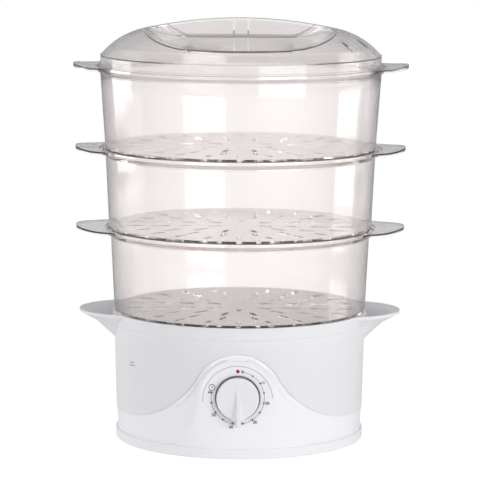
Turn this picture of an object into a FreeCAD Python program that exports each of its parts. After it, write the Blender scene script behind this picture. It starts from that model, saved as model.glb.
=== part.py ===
import FreeCAD, Part
import math
import os

# Three-tier electric food steamer, in millimetres.
# Origin: centre of the plane it stands on. +Z is up, -Y is the front with the timer, +X is the right ear.

Vec = FreeCAD.Vector

# ---------------------------------------------------------------- base
HOUSING_RADIUS = 113.0  # outer radius of the white housing at its lower edge
HOUSING_WALL = 2.5
HOUSING_FLARE = 0.0465  # growth of the housing radius per mm of height
COVER_TOP = 11.0  # where the bottom cover meets the housing
COVER_OVERHANG = 2.0  # the cover stands this far out past the housing
COVER_WALL = 2.5
COVER_FLOOR = 4.0  # underside of the cover's floor
COVER_RIM_LIFT = 1.5  # gap between the cover's rim and the table
COVER_SLOT_PITCH = 9.0
COVER_SLOT_WIDTH = 4.0
COVER_SLOT_HALF = 30.0
LIP_HEIGHT = 3.0  # locating lips between shells
LIP_WALL = 2.0
LIP_CLEARANCE = 0.3
SHOULDER_Z = 29.5  # top edge of the housing at the sides and back
POST_TOP = 15.0  # the cover's posts meet the tank's posts here

# ---------------------------------------------------------------- wave front and timer boss
WAVE_RUN = HOUSING_RADIUS + 0.5  # half width of the wave
WAVE_TOP_RADIUS = 40.0
WAVE_TOP_CENTRE = 56.9
DIAL_Z = 58.3  # height of the timer axis
BOSS_RADIUS = 35.4
BOSS_PROUD = 5.0  # the flat dial face stands this far in front of the housing radius
BOSS_ROUND = 1.8
BOSS_TOE_Z = 70.0  # below this the boss curves back into the round housing
BOSS_TOE_SHARE = 0.7  # how much of that curve bulges; the rest is hollow
NOTCH_HALF = 8.5  # flat notch in the crest of the wave
NOTCH_Z = 95.0
BOSS_FLANK_DEPTH = 30.0
BOSS_DRAFT = 16.0  # the boss is this much wider at its root than at its face
BOSS_SPLAY = 10.0  # lean of the root's legs in degrees

# ---------------------------------------------------------------- water tank
TANK_OVERHANG = 1.5  # the tank stands this far out past the housing
TANK_FLARE = 0.0255
TANK_WALL = 2.2
TANK_RIM_Z = 121.0
COLLAR_HEIGHT = 12.0
COLLAR_PROUD = 1.5
RIM_LAND = 4.1  # width of the flat rim that carries the first basket
TANK_FLOOR_Z = 32.0  # underside of the tank floor
TANK_FLOOR = 2.5
PANEL_GAP = 0.4  # between the housing and the tank wall behind it
POCKET_DEPTH = 57.0  # how far the timer pocket reaches into the tank
POCKET_GAP = 0.4  # clearance of the pocket round the lamp over the timer
LEDGE_DROP = 14.0  # drip tray ledge under the rim
LEDGE_WIDTH = 3.0
LEDGE_THICK = 2.5
EAR_REACH = 31.0  # from the collar to the tip of an ear
EAR_RADIUS = 50.0
EAR_FILLET = 16.0
EAR_WALL = 2.0
EAR_PLATE = 2.5  # thickness of the rim round an ear's scoop
SCOOP_LIFT = 2.6  # the scoop's inner surface over its outer one
INLET_Z = 94.0  # underside of the ear where it meets the wall

# ---------------------------------------------------------------- heater
HEATER_RADIUS = 36.0
HEATER_TOP_Z = 38.0
HEATER_SHEET = 2.5
HEATER_FLANGE_RADIUS = HEATER_RADIUS + 10.0
SEAL_THICK = 2.0
SEAL_CLEARANCE = 0.05
SEAL_SLEEVE = 1.0  # gap in the tank floor that the seal's collar fills
ELEMENT_RADIUS = 25.0
ELEMENT_TUBE = 3.3
ELEMENT_GAP_DEG = 20.0
ELEMENT_END_Z = 20.0
PIN_RADIUS = 1.3
CLAMP_THICK = 1.8
CLAMP_BAR = 12.0
CLAMP_ANGLES = (30.0, 150.0, 270.0)
CLAMP_SCREW_CIRCLE = HEATER_FLANGE_RADIUS + 8.0
CLAMP_SHANK = 1.4
CLAMP_HEAD = 3.0
CLAMP_TOP = TANK_FLOOR_Z - SEAL_THICK - HEATER_SHEET
ELEMENT_Z = HEATER_TOP_Z - HEATER_SHEET - ELEMENT_TUBE - 0.02
THERMOSTAT_RADIUS = 8.0

# ---------------------------------------------------------------- timer
KNOB_RADIUS = 19.1
KNOB_THICK = 7.0
KNOB_STANDOFF = 1.0
POINTER_REACH = 24.2
POINTER_START = 9.8
POINTER_HEIGHT = 8.5
POINTER_WIDTH = 17.0  # foot of the wedge where it crosses the edge of the disc
POINTER_NOSE = 4.6  # width of the pointer past the disc
POINTER_CREST = 1.8
KNOB_ROUND = 1.5
POINTER_ANGLE = 178.4  # clockwise from the top, seen from the front
BEZEL_WIDTH = 1.1
BEZEL_GAP = 0.3
BEZEL_SINK = 0.8
SHAFT_RADIUS = 3.0
SHAFT_CLEARANCE = 0.05
SHAFT_FLAT = 2.2
TIMER_PLATE_WIDTH = 50.0
TIMER_PLATE_HALF = 20.0
TIMER_PLATE_THICK = 1.5
TIMER_PLATE_ROUND = 25.0  # the plate's corners are rounded about the timer axis
TIMER_DRUM_RADIUS = 21.5
TIMER_DRUM_DEPTH = 24.0
TIMER_TAG_REACH = 8.0
BELL_RADIUS = 20.0
BELL_DEPTH = 11.0
BELL_SHEET = 1.0
TIMER_SCREW_SPAN = 14.0
TIMER_SCREW_SHANK = 1.4
TIMER_SCREW_HEAD = 3.15
TIMER_SCREW_SINK = 1.5
TIMER_TAG_DEPTH = 12.0  # from the mounting plate back to the terminal tags
TIMER_BORE_DEPTH = 16.0
LAMP_OFFSET = 24.0
LENS_RADIUS = 1.6
LAMP_RADIUS = 2.2

# ---------------------------------------------------------------- turbo ring and drip tray
RING_BASE_RADIUS = HEATER_RADIUS + 14.0
RING_TOP_RADIUS = HEATER_RADIUS + 2.0
RING_HEIGHT = 46.0
RING_WALL = 1.8
RING_ARCHES = 3
TRAY_THICK = 1.8
TRAY_FLANGE_GAP = 0.6
TRAY_DEPTH = 17.0
TRAY_WALL_RADIUS = 103.0
CHIMNEY_RADIUS = 29.0
CHIMNEY_WINDOWS = 8
CHIMNEY_RISE = 17.0

# ---------------------------------------------------------------- baskets, lower to upper
BASKET_NAMES = ("lower_basket", "middle_basket", "upper_basket")
BASKET_HEIGHTS = (76.5, 73.5, 76.0)  # rim to rim
BASKET_LEDGES = (3.1, 4.05, 2.6)  # shoulder that stands on the rim below
BASKET_TAPERS = (3.25, 3.0, 4.7)  # growth of the wall radius from shoulder to rim
BASKET_FLANGES = (6.0, 6.5, 4.1)  # reach of the flange past the wall
BASKET_EARS = (26.2, 21.5, 20.9)  # reach of an ear past the flange
BASKET_WALL = 1.8
BASKET_FLOOR = 2.0
FOOT_DEPTH = 8.5
FOOT_CLEARANCE = 0.5
FOOT_WALL = 2.0
FLANGE_THICK = 1.8
FLANGE_COVE = 7.0
BASKET_EAR_RADIUS = 55.0
BASKET_EAR_FILLET = 20.0
EAR_RISE = 2.3  # an ear curves up by this much from the flange to its tip
BEAD_WIDTH = 2.0
BEAD_HEIGHT = 3.0
SLOT_WIDTH = 4.0
SLOT_ROWS = ((20.0, 14.0, 6), (42.0, 16.0, 12), (66.0, 16.0, 16), (90.0, 14.0, 22))

# ---------------------------------------------------------------- lid
LID_WALL = 2.0
LID_SKIRT = 10.4  # height of the upright skirt over the rim
LID_SKIRT_INSET = 0.1  # the skirt stands this far inside the wall radius of the upper basket
LID_BRIM = 2.2
LID_BRIM_THICK = 1.5
LID_RIB_DEPTH = 6.0
LID_RIB_WALL = 1.8
LID_STEP = 0.6
LID_HEIGHT = 44.0  # rim to the top of the dome
CROWN_RADIUS = 400.0
CROWN_RUN = 92.0
HOLLOW_DEPTH = 17.4  # from the top of the dome to the floor of a finger hollow
HOLLOW_SLOPE = 0.044
HANDLE_HALF = 6.5
HOLLOW_FLAT = 45.0  # half length of the level part of a hollow's floor
HOLLOW_SWEEP = 115.0  # radius on which the floor sweeps up to the dome at both ends
HANDLE_RUN = 50.0  # half length of the straight part of the handle at the floor
HANDLE_FLARE = 50.0
HANDLE_SPREAD = 14.0  # how much wider the handle gets over its flare
HOLLOW_DRAFT = 50.0  # lean of the hollow's end walls over the draft height
DRAFT_HEIGHT = 30.0
HOLLOW_BEND = 16.0  # plan radius where the handle's side turns into an end wall
FLARE_BEND = 30.0  # plan radius where an end wall runs out towards the brim
HANDLE_WEBS = (-6.5, 6.5)
WEB_THICK = 1.5
VENT_ANGLES = (-34.0, -16.0, 16.0, 34.0)
VENT_RADIUS = 115.0
VENT_LENGTH = 9.5
VENT_WIDTH = 5.0

# ---------------------------------------------------------------- small parts
SCREW_CIRCLE = 92.0
SCREW_ANGLES = (55.0, 125.0, 235.0, 305.0)
SCREW_SHANK = 1.7
SCREW_HEAD = 3.5
SCREW_HEAD_THICK = 2.2
SCREW_BOSS = 4.5
THREAD_CLEARANCE = 0.05
FOOT_PAD_CIRCLE = 97.0
FOOT_PAD_ANGLES = (20.0, 160.0, 200.0, 340.0)
FOOT_PAD_RADIUS = 8.0
STUD_RADIUS = 2.5
CORD_BORE = 3.6
BUSH_RADIUS = 6.8
BUSH_FLANGE = 8.0
BUSH_Z = 19.7
BUSH_LIP = 2.0
LEAD_RADIUS = 1.1
LEAD_BEND = 2.2
LEAD_LANE = 10.5  # height at which the leads run over the cover floor
TERMINAL_Y = 74.0
TERMINAL_TOP = 20.0
TERMINAL_XS = (-9.0, 0.0, 9.0)
TERMINAL_CELL = 3.0  # half width of a clamp's cell
FUSE_X = 26.0
FUSE_Y = 34.0
FUSE_Z = 15.0
FUSE_LENGTH = 18.0
FUSE_RADIUS = 3.0


# ---------------------------------------------------------------- tools of the trade
def face_from_points(points):
    """A flat face in the XZ plane from (radius, height) corners."""
    corners = [Vec(r, 0, z) for r, z in points]
    return Part.Face(Part.makePolygon(corners + corners[:1]))


def revolve(points):
    """A solid of revolution about the Z axis."""
    return face_from_points(points).revolve(Vec(0, 0, 0), Vec(0, 0, 1), 360)


def disc(radius, z0, z1, x=0.0, y=0.0):
    return Part.makeCylinder(radius, z1 - z0, Vec(x, y, z0))


def tube(inner, outer, z0, z1, x=0.0, y=0.0):
    return disc(outer, z0, z1, x, y).cut(disc(inner, z0, z1, x, y))


def rod_y(radius, y0, y1, x=0.0, z=0.0):
    return Part.makeCylinder(radius, y1 - y0, Vec(x, y0, z), Vec(0, 1, 0))


def box(x0, x1, y0, y1, z0, z1):
    return Part.makeBox(x1 - x0, y1 - y0, z1 - z0, Vec(x0, y0, z0))


def polar(radius, degrees, z=0.0):
    a = math.radians(degrees)
    return Vec(radius * math.cos(a), radius * math.sin(a), z)


def fuse_all(shapes):
    whole = shapes[0].multiFuse(shapes[1:]) if len(shapes) > 1 else shapes[0]
    return whole.removeSplitter()


def cut_all(shape, cutters):
    return shape.cut(cutters[0].multiFuse(cutters[1:]) if len(cutters) > 1 else cutters[0])


def save(name, *shapes):
    """Writes one node: one solid, or a group of like solids."""
    solids = [s for shape in shapes for s in shape.Solids]
    whole = solids[0] if len(solids) == 1 else Part.makeCompound(solids)
    whole.exportStep("parts/" + name + ".step")
    print(name, len(solids), round(whole.Volume), "" if whole.isValid() else "NOT VALID")


def arc(a, b, c):
    return Part.Arc(a, b, c).toShape()


def line(a, b):
    return Part.LineSegment(a, b).toShape()


def middle_of_arc(centre, radius, a, b):
    """The point halfway along the shorter arc from a to b."""
    towards = (a - centre).normalize() + (b - centre).normalize()
    return centre + towards.normalize() * radius


# ---------------------------------------------------------------- shared surfaces
def housing_radius(z):
    return HOUSING_RADIUS + (z - COVER_TOP) * HOUSING_FLARE


def tank_radius(z):
    return HOUSING_RADIUS + TANK_OVERHANG + (z - SHOULDER_Z) * TANK_FLARE


COLLAR_Z = TANK_RIM_Z - COLLAR_HEIGHT
COLLAR_RADIUS = tank_radius(COLLAR_Z) + COLLAR_PROUD
RIM_RADIUS = COLLAR_RADIUS - RIM_LAND  # inside of the tank rim
LEDGE_Z = TANK_RIM_Z - LEDGE_DROP
DIAL_Y = -(HOUSING_RADIUS + BOSS_PROUD)  # plane of the dial face
BEYOND = 2 * HOUSING_RADIUS  # well past every wall
TAG_Y = DIAL_Y + HOUSING_WALL + TIMER_PLATE_THICK + TIMER_TAG_DEPTH
TAG_Z = DIAL_Z - TIMER_DRUM_RADIUS - TIMER_TAG_REACH
COVER_FLOOR_TOP = COVER_FLOOR + COVER_WALL
TANK_FLOOR_TOP = TANK_FLOOR_Z + TANK_FLOOR
EAR_TIP = COLLAR_RADIUS + EAR_REACH


def wave_flank_radius():
    """Radius of the flank that is level at the shoulder and tangent to the round top."""
    drop = WAVE_TOP_CENTRE - SHOULDER_Z
    top = WAVE_RUN**2 + drop**2 - WAVE_TOP_RADIUS**2
    return top / (2 * (WAVE_TOP_RADIUS + drop))


def wave_prism(grow, y0, y1):
    """Everything below the wave line, grown outwards by the given amount, between two Y planes."""
    flank = wave_flank_radius()
    top_centre = Vec(0, y0, WAVE_TOP_CENTRE)
    right_centre = Vec(WAVE_RUN, y0, SHOULDER_Z + flank)
    left_centre = Vec(-WAVE_RUN, y0, SHOULDER_Z + flank)
    shoulder = SHOULDER_Z + grow
    start = Vec(WAVE_RUN, y0, shoulder)
    join = top_centre + (right_centre - top_centre).normalize() * (WAVE_TOP_RADIUS + grow)
    start_left = Vec(-start.x, y0, start.z)
    join_left = Vec(-join.x, y0, join.z)
    right_mid = middle_of_arc(right_centre, flank - grow, start, join)
    left_mid = Vec(-right_mid.x, y0, right_mid.z)
    crest = Vec(0, y0, WAVE_TOP_CENTRE + WAVE_TOP_RADIUS + grow)
    far = BEYOND
    low = -SHOULDER_Z
    edges = [
        line(Vec(far, y0, low), Vec(far, y0, shoulder)),
        line(Vec(far, y0, shoulder), start),
        arc(start, right_mid, join),
        arc(join, crest, join_left),
        arc(join_left, left_mid, start_left),
        line(start_left, Vec(-far, y0, shoulder)),
        line(Vec(-far, y0, shoulder), Vec(-far, y0, low)),
        line(Vec(-far, y0, low), Vec(far, y0, low)),
    ]
    return Part.Face(Part.Wire(edges)).extrude(Vec(0, y1 - y0, 0))


def arch_prism(radius, y0, y1, bottom):
    """A tombstone: round top about the timer axis, straight sides down to the bottom."""
    left = Vec(-radius, y0, DIAL_Z)
    right = Vec(radius, y0, DIAL_Z)
    edges = [
        line(Vec(-radius, y0, bottom), left),
        arc(left, Vec(0, y0, DIAL_Z + radius), right),
        line(right, Vec(radius, y0, bottom)),
        line(Vec(radius, y0, bottom), Vec(-radius, y0, bottom)),
    ]
    return Part.Face(Part.Wire(edges)).extrude(Vec(0, y1 - y0, 0))


def outside_cone(inner_radius, z0, z1):
    """The space outside a cone whose radius is a function of height."""
    return revolve([(inner_radius(z0), z0), (BEYOND, z0), (BEYOND, z1), (inner_radius(z1), z1)])


def eared_outline(ring, tip, ear_radius, fillet, z):
    """Plan outline of a ring with two round ears along X, blended by hollow fillets."""
    centre = tip - ear_radius
    reach = ring + fillet
    fx = (reach**2 - (ear_radius + fillet) ** 2 + centre**2) / (2 * centre)
    fy = math.sqrt(reach**2 - fx**2)

    def quarter(sx, sy):
        hub = Vec(sx * fx, sy * fy, z)
        ear = Vec(sx * centre, 0, z)
        on_ring = Vec(sx * fx * ring / reach, sy * fy * ring / reach, z)
        on_ear = ear + (hub - ear).normalize() * ear_radius
        return on_ring, middle_of_arc(hub, fillet, on_ring, on_ear), on_ear

    right_back = quarter(1, 1)
    right_front = quarter(1, -1)
    left_front = quarter(-1, -1)
    left_back = quarter(-1, 1)
    edges = [
        arc(right_back[0], right_back[1], right_back[2]),
        arc(right_back[2], Vec(tip, 0, z), right_front[2]),
        arc(right_front[2], right_front[1], right_front[0]),
        arc(right_front[0], Vec(0, -ring, z), left_front[0]),
        arc(left_front[0], left_front[1], left_front[2]),
        arc(left_front[2], Vec(-tip, 0, z), left_back[2]),
        arc(left_back[2], left_back[1], left_back[0]),
        arc(left_back[0], Vec(0, ring, z), right_back[0]),
    ]
    return Part.Wire(edges)


def path_with_bends(points, bends):
    """A wire of straight runs joined by tangent arcs, one radius for each inner corner."""
    edges = []
    last = points[0]
    for before, corner, after, bend in zip(points, points[1:], points[2:], bends):
        back = (before - corner).normalize()
        ahead = (after - corner).normalize()
        half = math.acos(max(-1.0, min(1.0, back.dot(ahead)))) / 2
        reach = bend / math.tan(half)
        a = corner + back * reach
        b = corner + ahead * reach
        hub = corner + (back + ahead).normalize() * (bend / math.sin(half))
        edges.append(line(last, a))
        edges.append(arc(a, middle_of_arc(hub, bend, a, b), b))
        last = b
    edges.append(line(last, points[-1]))
    return Part.Wire(edges)


def swept_tube(path, radius):
    start = path.Edges[0].valueAt(path.Edges[0].FirstParameter)
    along = path.Edges[0].tangentAt(path.Edges[0].FirstParameter)
    ring = Part.Wire([Part.Circle(start, along, radius).toShape()])
    return path.makePipeShell([ring], True, False)


# ---------------------------------------------------------------- base shells
def toe_limit(inset):
    """A body of revolution that bends the boss back into the housing below the dial."""
    start = Vec(math.hypot(DIAL_Y, BOSS_RADIUS), 0, BOSS_TOE_Z)
    end = Vec(housing_radius(COVER_TOP), 0, COVER_TOP)
    run = start - end
    both = (run.x**2 + run.z**2) / (2 * run.x)
    bulge = both * BOSS_TOE_SHARE
    bulge_hub = start - Vec(bulge, 0, 0)
    hollow_hub = end + Vec(both - bulge, 0, 0)
    step_in = Vec(inset, 0, 0)
    join = bulge_hub + (hollow_hub - bulge_hub).normalize() * (bulge - inset)
    bulge_mid = middle_of_arc(bulge_hub, bulge - inset, start - step_in, join)
    hollow_mid = middle_of_arc(hollow_hub, both - bulge + inset, join, end - step_in)
    foot = Vec(end.x - inset, 0, 0)
    top = Vec(start.x - inset, 0, WAVE_TOP_CENTRE + WAVE_TOP_RADIUS + 1)
    edges = [
        line(foot, end - step_in),
        arc(end - step_in, hollow_mid, join),
        arc(join, bulge_mid, start - step_in),
        line(start - step_in, top),
        line(top, Vec(0, 0, top.z)),
        line(Vec(0, 0, top.z), Vec(0, 0, 0)),
        line(Vec(0, 0, 0), foot),
    ]
    return Part.Face(Part.Wire(edges)).revolve(Vec(0, 0, 0), Vec(0, 0, 1), 360)


def boss_outline(radius, splay, y):
    """A round top about the timer axis with straight legs that leave it at a tangent."""
    lean = math.radians(splay)
    knee = Vec(radius * math.cos(lean), y, DIAL_Z + radius * math.sin(lean))
    foot = Vec(knee.x + (knee.z - COVER_TOP) * math.tan(lean), y, COVER_TOP)
    left_knee = Vec(-knee.x, y, knee.z)
    left_foot = Vec(-foot.x, y, foot.z)
    edges = [
        line(left_foot, left_knee),
        arc(left_knee, Vec(0, y, DIAL_Z + radius), knee),
        line(knee, foot),
        line(foot, left_foot),
    ]
    return Part.Wire(edges)


def timer_tower():
    """The raised dial boss outside the housing wall: sloped flanks, splayed legs, rounded front edge."""
    face = boss_outline(BOSS_RADIUS, 0, DIAL_Y)
    root = boss_outline(BOSS_RADIUS + BOSS_DRAFT, BOSS_SPLAY, DIAL_Y + BOSS_FLANK_DEPTH)
    tower = Part.makeLoft([face, root], True, True)
    front_edges = []
    for edge in tower.Edges:
        on_face = all(abs(v.Y - DIAL_Y) < 0.01 for v in edge.Vertexes)
        if on_face and max(v.Z for v in edge.Vertexes) > COVER_TOP + 1:
            front_edges.append(edge)
    tower = tower.makeFillet(BOSS_ROUND, front_edges)
    return tower.common(wave_prism(0, -BEYOND, 0)).common(toe_limit(0))


def inside_wall(z):
    return housing_radius(z) - HOUSING_WALL


def base_housing():
    """White lower shell with its wave front, dial boss, timer holes and cord hole."""
    top = WAVE_TOP_CENTRE + WAVE_TOP_RADIUS + 1
    ring = revolve(
        [
            (inside_wall(COVER_TOP), COVER_TOP),
            (housing_radius(COVER_TOP), COVER_TOP),
            (housing_radius(top), top),
            (inside_wall(top), top),
        ]
    )
    front = ring.common(wave_prism(0, -BEYOND, 0))
    rear = ring.common(box(-BEYOND, BEYOND, 0, BEYOND, 0, SHOULDER_Z))
    lip_outer = tank_radius(SHOULDER_Z) - TANK_WALL - LIP_CLEARANCE
    lip = tube(lip_outer - LIP_WALL, lip_outer, SHOULDER_Z - 1.5, SHOULDER_Z + 2)
    lip = lip.common(box(-BEYOND, BEYOND, 6, BEYOND, 0, TANK_RIM_Z))
    core = revolve([(0, 0), (inside_wall(0), 0), (inside_wall(TANK_RIM_Z), TANK_RIM_Z), (0, TANK_RIM_Z)])
    shell = front.fuse([rear, lip, timer_tower().cut(core)])
    hollow = arch_prism(BOSS_RADIUS - HOUSING_WALL, DIAL_Y + HOUSING_WALL, 0, 0)
    cutters = [
        hollow.common(toe_limit(HOUSING_WALL)),
        box(-NOTCH_HALF, NOTCH_HALF, -BEYOND, -BEYOND / 4, NOTCH_Z, BEYOND),
        rod_y(SHAFT_RADIUS + 0.5, DIAL_Y - 1, DIAL_Y + 5, 0, DIAL_Z),
        rod_y(LENS_RADIUS + 0.05, DIAL_Y - 1, DIAL_Y + 5, 0, DIAL_Z + LAMP_OFFSET),
        rod_y(BUSH_RADIUS + 0.1, 0, BEYOND, 0, BUSH_Z),
        bezel_ring(),
    ]
    hole = TIMER_SCREW_SHANK + 0.3
    for x in (-TIMER_SCREW_SPAN, TIMER_SCREW_SPAN):
        cutters.append(rod_y(hole, DIAL_Y - 1, DIAL_Y + 5, x, DIAL_Z))
        place = Vec(x, DIAL_Y, DIAL_Z)
        cutters.append(Part.makeCone(TIMER_SCREW_HEAD + 0.05, hole, TIMER_SCREW_SINK, place, Vec(0, 1, 0)))
    return cut_all(shell, cutters).removeSplitter()


def bottom_cover():
    """Grey skirt and floor with foot holes, screw posts and vent slots."""
    outer = HOUSING_RADIUS + COVER_OVERHANG
    lip_outer = housing_radius(COVER_TOP) - HOUSING_WALL - LIP_CLEARANCE
    body = revolve(
        [
            (0, COVER_FLOOR),
            (outer - 7, COVER_FLOOR),
            (outer - 4, COVER_RIM_LIFT),
            (outer - 0.8, COVER_RIM_LIFT),
            (outer, COVER_RIM_LIFT + 0.8),
            (outer, COVER_TOP - 0.6),
            (outer - 0.6, COVER_TOP),
            (lip_outer, COVER_TOP),
            (lip_outer, COVER_TOP + LIP_HEIGHT),
            (lip_outer - LIP_WALL, COVER_TOP + LIP_HEIGHT),
            (lip_outer - LIP_WALL, COVER_FLOOR_TOP),
            (0, COVER_FLOOR_TOP),
        ]
    )
    posts = []
    cutters = []
    for angle in SCREW_ANGLES:
        p = polar(SCREW_CIRCLE, angle)
        posts.append(disc(SCREW_BOSS + 1.5, COVER_FLOOR, POST_TOP, p.x, p.y))
        cutters.append(disc(SCREW_HEAD + 0.5, 0, POST_TOP - COVER_WALL, p.x, p.y))
        cutters.append(disc(SCREW_SHANK + 0.2, 0, BEYOND, p.x, p.y))
    for angle in FOOT_PAD_ANGLES:
        p = polar(FOOT_PAD_CIRCLE, angle)
        cutters.append(disc(STUD_RADIUS + 0.05, 0, BEYOND, p.x, p.y))
    for row in range(-3, 4):
        y = row * COVER_SLOT_PITCH
        half = COVER_SLOT_WIDTH / 2
        cutters.append(box(-COVER_SLOT_HALF, COVER_SLOT_HALF, y - half, y + half, 0, COVER_FLOOR_TOP + 1))
    notch = rod_y(BUSH_FLANGE + 0.5, 0, BEYOND, 0, BUSH_Z)
    return cut_all(fuse_all([body] + posts), cutters + [notch]).removeSplitter()


def rubber_feet():
    feet = []
    for angle in FOOT_PAD_ANGLES:
        p = polar(FOOT_PAD_CIRCLE, angle)
        pad = Part.makeCone(FOOT_PAD_RADIUS - 1, FOOT_PAD_RADIUS, COVER_FLOOR, Vec(p.x, p.y, 0))
        stud = disc(STUD_RADIUS, COVER_FLOOR, COVER_FLOOR_TOP, p.x, p.y)
        head = Part.makeCone(STUD_RADIUS + 1, STUD_RADIUS - 1, 2.5, Vec(p.x, p.y, COVER_FLOOR_TOP))
        feet.append(fuse_all([pad, stud, head]))
    return feet


def pan_screw(x, y, head_z, shank_top, head_radius, shank_radius, head_thick):
    """A screw driven upwards, its head below head_z."""
    head = disc(head_radius, head_z - head_thick, head_z, x, y)
    shank = disc(shank_radius, head_z, shank_top, x, y)
    cross = box(x - 0.5, x + 0.5, y - 2, y + 2, head_z - head_thick, head_z - head_thick + 1)
    other = box(x - 2, x + 2, y - 0.5, y + 0.5, head_z - head_thick, head_z - head_thick + 1)
    return head.fuse(shank).removeSplitter().cut(cross.fuse(other))


def cover_screws():
    screws = []
    for angle in SCREW_ANGLES:
        p = polar(SCREW_CIRCLE, angle)
        seat = POST_TOP - COVER_WALL
        top = TANK_FLOOR_Z - 4
        screws.append(pan_screw(p.x, p.y, seat, top, SCREW_HEAD, SCREW_SHANK, SCREW_HEAD_THICK))
    return screws


def cord_bush():
    """Grooved rubber bush that lines the cord hole in the rear wall."""
    outer_face = housing_radius(BUSH_Z + BUSH_FLANGE) + 0.1
    inner_face = math.sqrt(inside_wall(BUSH_Z - BUSH_FLANGE) ** 2 - BUSH_FLANGE**2) - 0.1
    inner_flange = rod_y(BUSH_FLANGE, inner_face - BUSH_LIP, inner_face, 0, BUSH_Z)
    sleeve = rod_y(BUSH_RADIUS, inner_face, outer_face, 0, BUSH_Z)
    place = Vec(0, outer_face, BUSH_Z)
    outer_flange = Part.makeCone(BUSH_FLANGE, BUSH_FLANGE - 1.2, BUSH_LIP, place, Vec(0, 1, 0))
    bore = rod_y(CORD_BORE, 0, BEYOND, 0, BUSH_Z)
    return fuse_all([inner_flange, sleeve, outer_flange]).cut(bore)


# ---------------------------------------------------------------- tank
def ear_sections(inset, lift):
    """Three round sections of the scoop under an ear, from its tip down to the wall."""
    heights = (TANK_RIM_Z - EAR_PLATE, TANK_RIM_Z - 10.3, INLET_Z)
    tips = (EAR_TIP, EAR_TIP - 15, tank_radius(INLET_Z) - 0.1)
    radii = (EAR_RADIUS, EAR_RADIUS - 8, EAR_RADIUS - 15)
    return [(h + lift, t - inset, r - inset) for h, t, r in zip(heights, tips, radii)]


def ear_scoop(side, inset, lift):
    wires = []
    for height, tip, radius in ear_sections(inset, lift):
        centre = Vec(side * (tip - radius), 0, height)
        wires.append(Part.Wire([Part.makeCircle(radius, centre)]))
    return Part.makeLoft(wires, True, True)


def water_tank():
    """Frosted tank: flared wall, collar with two scoop ears, timer pocket and floor."""
    low = SHOULDER_Z
    body = revolve(
        [
            (0, low),
            (tank_radius(low), low),
            (tank_radius(COLLAR_Z), COLLAR_Z),
            (COLLAR_RADIUS, COLLAR_Z + 1.5),
            (COLLAR_RADIUS, TANK_RIM_Z),
            (0, TANK_RIM_Z),
        ]
    )
    inner_low = tank_radius(TANK_FLOOR_TOP) - TANK_WALL
    inner_high = tank_radius(LEDGE_Z) - TANK_WALL
    ledge_inner = RIM_RADIUS - LEDGE_WIDTH
    cavity = revolve(
        [
            (0, TANK_FLOOR_TOP),
            (inner_low, TANK_FLOOR_TOP),
            (inner_high, LEDGE_Z - LEDGE_THICK - LEDGE_WIDTH),
            (ledge_inner, LEDGE_Z - LEDGE_THICK),
            (ledge_inner, LEDGE_Z),
            (RIM_RADIUS, LEDGE_Z),
            (RIM_RADIUS, TANK_RIM_Z),
            (0, TANK_RIM_Z),
        ]
    )
    under = disc(tank_radius(low) - TANK_WALL, low, TANK_FLOOR_Z)

    def behind_panel(z):
        return inside_wall(z) - PANEL_GAP

    def behind_wall(z):
        return behind_panel(z) - TANK_WALL

    set_back = wave_prism(0.3, -BEYOND, 0)
    set_back = set_back.common(outside_cone(behind_panel, 0, TANK_RIM_Z))
    set_back_wall = wave_prism(0.3 + TANK_WALL, -BEYOND, 0)
    set_back_wall = set_back_wall.common(outside_cone(behind_wall, 0, TANK_RIM_Z))
    pocket_radius = LAMP_OFFSET + LAMP_RADIUS + POCKET_GAP
    pocket_back = DIAL_Y + POCKET_DEPTH
    pocket = arch_prism(pocket_radius, -BEYOND, pocket_back, 0)
    pocket_wall = arch_prism(pocket_radius + TANK_WALL, -BEYOND, pocket_back + TANK_WALL, 0)

    outline = eared_outline(COLLAR_RADIUS, EAR_TIP, EAR_RADIUS, EAR_FILLET, TANK_RIM_Z - EAR_PLATE)
    plate = Part.Face(outline).extrude(Vec(0, 0, EAR_PLATE))
    shell = fuse_all([body, plate, ear_scoop(1, 0, 0), ear_scoop(-1, 0, 0)])

    room = cavity.cut(set_back_wall).cut(pocket_wall)
    collar = tube(RIM_RADIUS - LEDGE_WIDTH, COLLAR_RADIUS, LEDGE_Z - LEDGE_THICK, TANK_RIM_Z)
    scoops = []
    for side in (1, -1):
        scoop = ear_scoop(side, EAR_WALL, SCOOP_LIFT)
        _, high_tip, high_radius = ear_sections(EAR_WALL, SCOOP_LIFT)[0]
        x = side * (high_tip - high_radius)
        mouth = disc(high_radius, TANK_RIM_Z, TANK_RIM_Z + 5, x)
        scoops.append(scoop.fuse(mouth).cut(collar))
    shell = shell.cut(room).cut(under).cut(set_back).cut(pocket)
    shell = cut_all(shell, scoops)
    shell = shell.cut(disc(HEATER_RADIUS + SEAL_SLEEVE, TANK_FLOOR_Z - 5, TANK_FLOOR_TOP + 5))

    posts = []
    pilots = []
    for angle in SCREW_ANGLES:
        p = polar(SCREW_CIRCLE, angle)
        posts.append(disc(SCREW_BOSS, POST_TOP, TANK_FLOOR_Z + 1, p.x, p.y))
        pilots.append(disc(SCREW_SHANK + THREAD_CLEARANCE, POST_TOP, TANK_FLOOR_Z - 3, p.x, p.y))
    for angle in CLAMP_ANGLES:
        p = polar(CLAMP_SCREW_CIRCLE, angle)
        posts.append(disc(CLAMP_SHANK * 2.5, CLAMP_TOP, TANK_FLOOR_Z + 1, p.x, p.y))
        pilots.append(disc(CLAMP_SHANK + THREAD_CLEARANCE, CLAMP_TOP, TANK_FLOOR_Z, p.x, p.y))
    shell = fuse_all([shell] + posts)
    return cut_all(shell, pilots).removeSplitter()


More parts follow.
